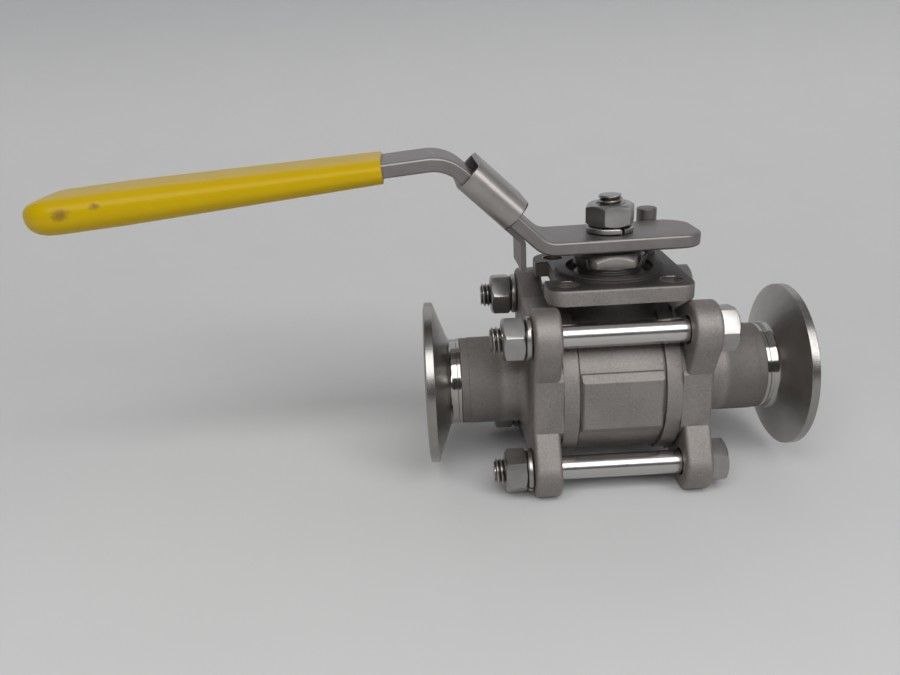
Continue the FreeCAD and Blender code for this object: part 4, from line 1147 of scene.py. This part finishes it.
class VALVE_OT_grip(bpy.types.Operator):
    """Model the dipped grip as a soft sleeve on the lever's arm"""

    bl_idname = "valve.grip"
    bl_label = "Dipped Grip"

    def execute(self, context):
        size = context.scene.valve_handle
        run = (size.grip_end - size.grip_start) / math.cos(size.droop)
        full = (size.full - size.grip_start) / math.cos(size.droop)
        depth = (size.lever_end - size.grip_start) / math.cos(size.droop)

        def rounded_off(place, length, depth):
            """What a quarter of an ellipse at the tip takes off."""
            reach = max(0.0, place - (run - length)) / length
            return depth - depth * math.sqrt(max(0.0, 1.0 - reach ** 2))

        def wide(place):
            """Half width at a distance from the mouth."""
            side = size.mouth_side + (size.side - size.mouth_side) * place / run
            return size.strip_width / 2 + side - rounded_off(place, size.tip, size.tip)

        def tall(place):
            """Half height at a distance from the mouth."""
            wall = size.mouth_wall + (size.wall - size.mouth_wall) * min(1.0, place / full)
            return size.strip / 2 + wall - rounded_off(place, size.nose_run, size.nose)

        # Sections of the grip: evenly spaced along the arm, then closer towards the tip
        straight, curved = 14, 18
        stations = [run * step / straight for step in range(straight - 1)]
        stations += [run - size.tip * math.cos(TURN / 4 * step / curved)
                     for step in range(1, curved)]
        stations.append(run - HAIR)
        begin()
        bpy.ops.mesh.primitive_plane_add(size=2.0, rotation=(0.0, TURN / 4, 0.0))
        piece = added("grip_dipped")
        edit(piece)
        stretch = size.edge_run / size.edge
        self.resize(wide(0.0) / stretch, tall(0.0))
        bpy.ops.mesh.bevel(offset=size.edge, offset_type="OFFSET", segments=size.edge_steps,
                           profile=0.5, affect="VERTICES", clamp_overlap=False)
        bpy.ops.mesh.select_all(action="SELECT")
        self.resize(stretch, 1.0)
        for before, after in zip(stations, stations[1:]):
            bpy.ops.mesh.extrude_region_move(
                TRANSFORM_OT_translate={"value": (after - before, 0.0, 0.0)})
            self.resize(wide(after) / wide(before), tall(after) / tall(before))
        # The mouth, hollowed as far as the lever's end
        mesh = bmesh.from_edit_mesh(piece.data)
        bpy.ops.mesh.select_all(action="DESELECT")
        for face in mesh.faces:
            if all(abs(vertex.co.x) < SAME_POINT for vertex in face.verts):
                face.select_set(True)
        bpy.ops.mesh.inset(thickness=size.mouth_wall * size.rim)
        bpy.ops.mesh.extrude_region_move(TRANSFORM_OT_translate={"value": (depth, 0.0, 0.0)})
        bpy.ops.mesh.select_all(action="SELECT")
        merge_doubles()
        bpy.ops.mesh.normals_make_consistent(inside=False)
        leave()
        soften(piece, size.lip, 3, size.lip_angle)
        # From the X axis to the lever's arm
        lower = size.strip / 2 + size.sag
        reach = size.grip_start - lower * math.sin(size.droop)
        place = Matrix.Translation((reach * math.cos(size.heading), reach * math.sin(size.heading),
                                    size.mouth_top - lower * math.cos(size.droop)))
        tilt = Matrix.Rotation(size.heading, 4, "Z") @ Matrix.Rotation(size.droop, 4, "Y")
        piece.data.transform(place @ tilt)
        smooth(piece, degrees=40.0)
        wear(piece, "vinyl", "grip", "handle")
        return {"FINISHED"}

    def resize(self, across, upward):
        """Scale what is selected about the arm's line."""
        bpy.ops.transform.resize(value=(1.0, across, upward), center_override=(0.0, 0.0, 0.0))


# Inside

class VALVE_OT_inner_parts(bpy.types.Operator):
    """Finish the ball, the seats, the seals and the packing inside"""

    bl_idname = "valve.inner_parts"
    bl_label = "Inner Parts"

    def execute(self, context):
        wear_solid("ball", "ball")
        wear_solid("gland_ring", "fastener")
        for node in ("seat_left", "seat_right", "body_seal_left", "body_seal_right",
                     "thrust_washer", "packing_lower", "packing_middle", "packing_upper"):
            wear_solid(node, "seal")
        return {"FINISHED"}


# Stage

def stage_finish():
    """Pale floor and backdrop, with painted light: paler near the valve and high up."""
    stage = bpy.context.scene.valve_stage
    finish = Finish("pale_floor", Roughness=0.9, Specular_IOR_Level=0.05)
    where = finish.place()
    across, upward = finish.parts(where)[1:]
    base = finish.tint(finish.between(upward, 20.0, 190.0), stage.floor, stage.backdrop)
    # Painted light: the backdrop is paler high up
    base = finish.tint(finish.between(upward, 230.0, 420.0), base, dimmed(stage.backdrop, 1.9))
    # Painted light: the floor is paler near the valve
    near = finish.between(across, 60.0, -160.0)
    base = finish.tint(near * 0.5, base, dimmed(stage.floor, 1.45))
    clouds = finish.noise(where, 0.02, 3.0)
    finish.feed(Base_Color=finish.tint(clouds * 0.04, base, (0.0, 0.0, 0.0)))
    return finish.material


# The point that the lamps face
LAMPS_AIM = (-0.03, 0.0, 0.02)
# Each lamp's name, its place, width and depth in metres, and the setting of its power
LAMPS = (
    ("lamp_overhead", (-0.03, -2.45, 2.80), 5.2, 2.4, "light"),
    ("lamp_right", (2.3, -2.25, 1.42), 1.1, 1.1, "right_light"),
    ("lamp_ceiling", (0.0, 0.6, 3.3), 5.0, 3.6, "ceiling_light"),
    ("lamp_side", (2.75, 0.6, 1.25), 3.0, 2.0, "side_light"),
)


def add_lamp(name, place, width, depth, watts):
    """Soft rectangular lamp that faces the valve."""
    begin()
    bpy.ops.object.light_add(type="AREA", location=place)
    lamp = bpy.context.object
    lamp.name = lamp.data.name = name
    lamp.data.shape = "RECTANGLE"
    lamp.data.size = width
    lamp.data.size_y = depth
    lamp.data.energy = watts
    aim = Vector(LAMPS_AIM) - Vector(place)
    lamp.rotation_euler = aim.to_track_quat("-Z", "Y").to_euler()


class VALVE_OT_stage(bpy.types.Operator):
    """Lay the floor and backdrop, set the lamps and place the camera"""

    bl_idname = "valve.stage"
    bl_label = "Stage"

    def execute(self, context):
        stage = context.scene.valve_stage
        self.lay_floor(stage)
        for name, place, width, depth, setting in LAMPS:
            add_lamp(name, place, width, depth, getattr(stage, setting))
        self.light_world(context.scene, stage)
        self.place_camera(context.scene, stage)
        context.scene.view_settings.view_transform = "Standard"
        return {"FINISHED"}

    def lay_floor(self, stage):
        """A floor that sweeps up to a backdrop at its far edge."""
        begin()
        bpy.ops.mesh.primitive_plane_add(size=stage.floor_width,
                                         location=(0.0, -stage.floor_shift, SOLIDS_BOX[0][2]))
        floor = added("floor")
        far = stage.floor_width / 2 - stage.floor_shift - MM
        edit(floor)
        pick_edges(floor, lambda one, other: min(one.y, other.y) > far)
        bpy.ops.mesh.extrude_region_move(TRANSFORM_OT_translate={"value": (0.0, 0.0, stage.wall)})
        round_edges(floor, stage.sweep, stage.sweep_steps, lambda one, other: (
            min(one.y, other.y) > far and max(one.z, other.z) < 0))
        smooth(floor, degrees=60.0)
        floor.data.materials.append(stage_finish())

    def light_world(self, scene, stage):
        """Even pale surroundings."""
        world = bpy.data.worlds.new("studio")
        scene.world = world
        world.use_nodes = True
        background = world.node_tree.nodes["Background"]
        background.inputs["Color"].default_value = (*stage.surroundings, 1.0)
        background.inputs["Strength"].default_value = stage.around

    def place_camera(self, scene, stage):
        """The camera at its eye, turned, tipped and rolled."""
        begin()
        bpy.ops.object.camera_add(location=stage.eye)
        camera = bpy.context.object
        camera.name = camera.data.name = "camera"
        turn, pitch = stage.heading, stage.pitch
        ahead = Vector((math.sin(turn) * math.cos(pitch), math.cos(turn) * math.cos(pitch),
                        -math.sin(pitch)))
        level = Vector((math.cos(turn), -math.sin(turn), 0.0))
        above = level.cross(ahead)
        right = level * math.cos(stage.roll) + above * math.sin(stage.roll)
        up = above * math.cos(stage.roll) - level * math.sin(stage.roll)
        camera.rotation_euler = Matrix((right, up, -ahead)).transposed().to_euler()
        camera.data.lens = stage.lens
        camera.data.sensor_width = 36.0
        camera.data.clip_start = 0.01
        camera.data.clip_end = 10.0
        scene.camera = camera


class VALVE_PT_sidebar(bpy.types.Panel):
    """Buttons and sizes of the valve"""

    bl_idname = "VALVE_PT_sidebar"
    bl_label = "Sanitary Ball Valve"
    bl_space_type = "VIEW_3D"
    bl_region_type = "UI"
    bl_category = "Valve"

    def draw(self, context):
        for kind in STEPS:
            self.layout.operator(kind.bl_idname)
        for name in GROUPS:
            group = getattr(context.scene, name)
            box = self.layout.box()
            for size in group.bl_rna.properties:
                if size.identifier not in ("rna_type", "name"):
                    box.prop(group, size.identifier)


GROUPS = {
    "valve_ferrule": FerruleSizes,
    "valve_fastener": FastenerSizes,
    "valve_handle": HandleSizes,
    "valve_finish": FinishColours,
    "valve_stage": StageSettings,
}
STEPS = (VALVE_OT_stage, VALVE_OT_castings, VALVE_OT_ferrules, VALVE_OT_bolts, VALVE_OT_gland,
         VALVE_OT_stem, VALVE_OT_stop_pin, VALVE_OT_lever, VALVE_OT_grip, VALVE_OT_inner_parts)


def register():
    for kind in (*GROUPS.values(), *STEPS, VALVE_PT_sidebar):
        bpy.utils.register_class(kind)
    for name, kind in GROUPS.items():
        setattr(bpy.types.Scene, name, bpy.props.PointerProperty(type=kind))


def unregister():
    for name in GROUPS:
        delattr(bpy.types.Scene, name)
    for kind in (VALVE_PT_sidebar, *reversed(STEPS), *reversed(tuple(GROUPS.values()))):
        bpy.utils.unregister_class(kind)


def main():
    """Build every piece in turn."""
    register()
    for kind in STEPS:
        group, name = kind.bl_idname.split(".")
        getattr(getattr(bpy.ops, group), name)()


if __name__ == "__main__":
    main()
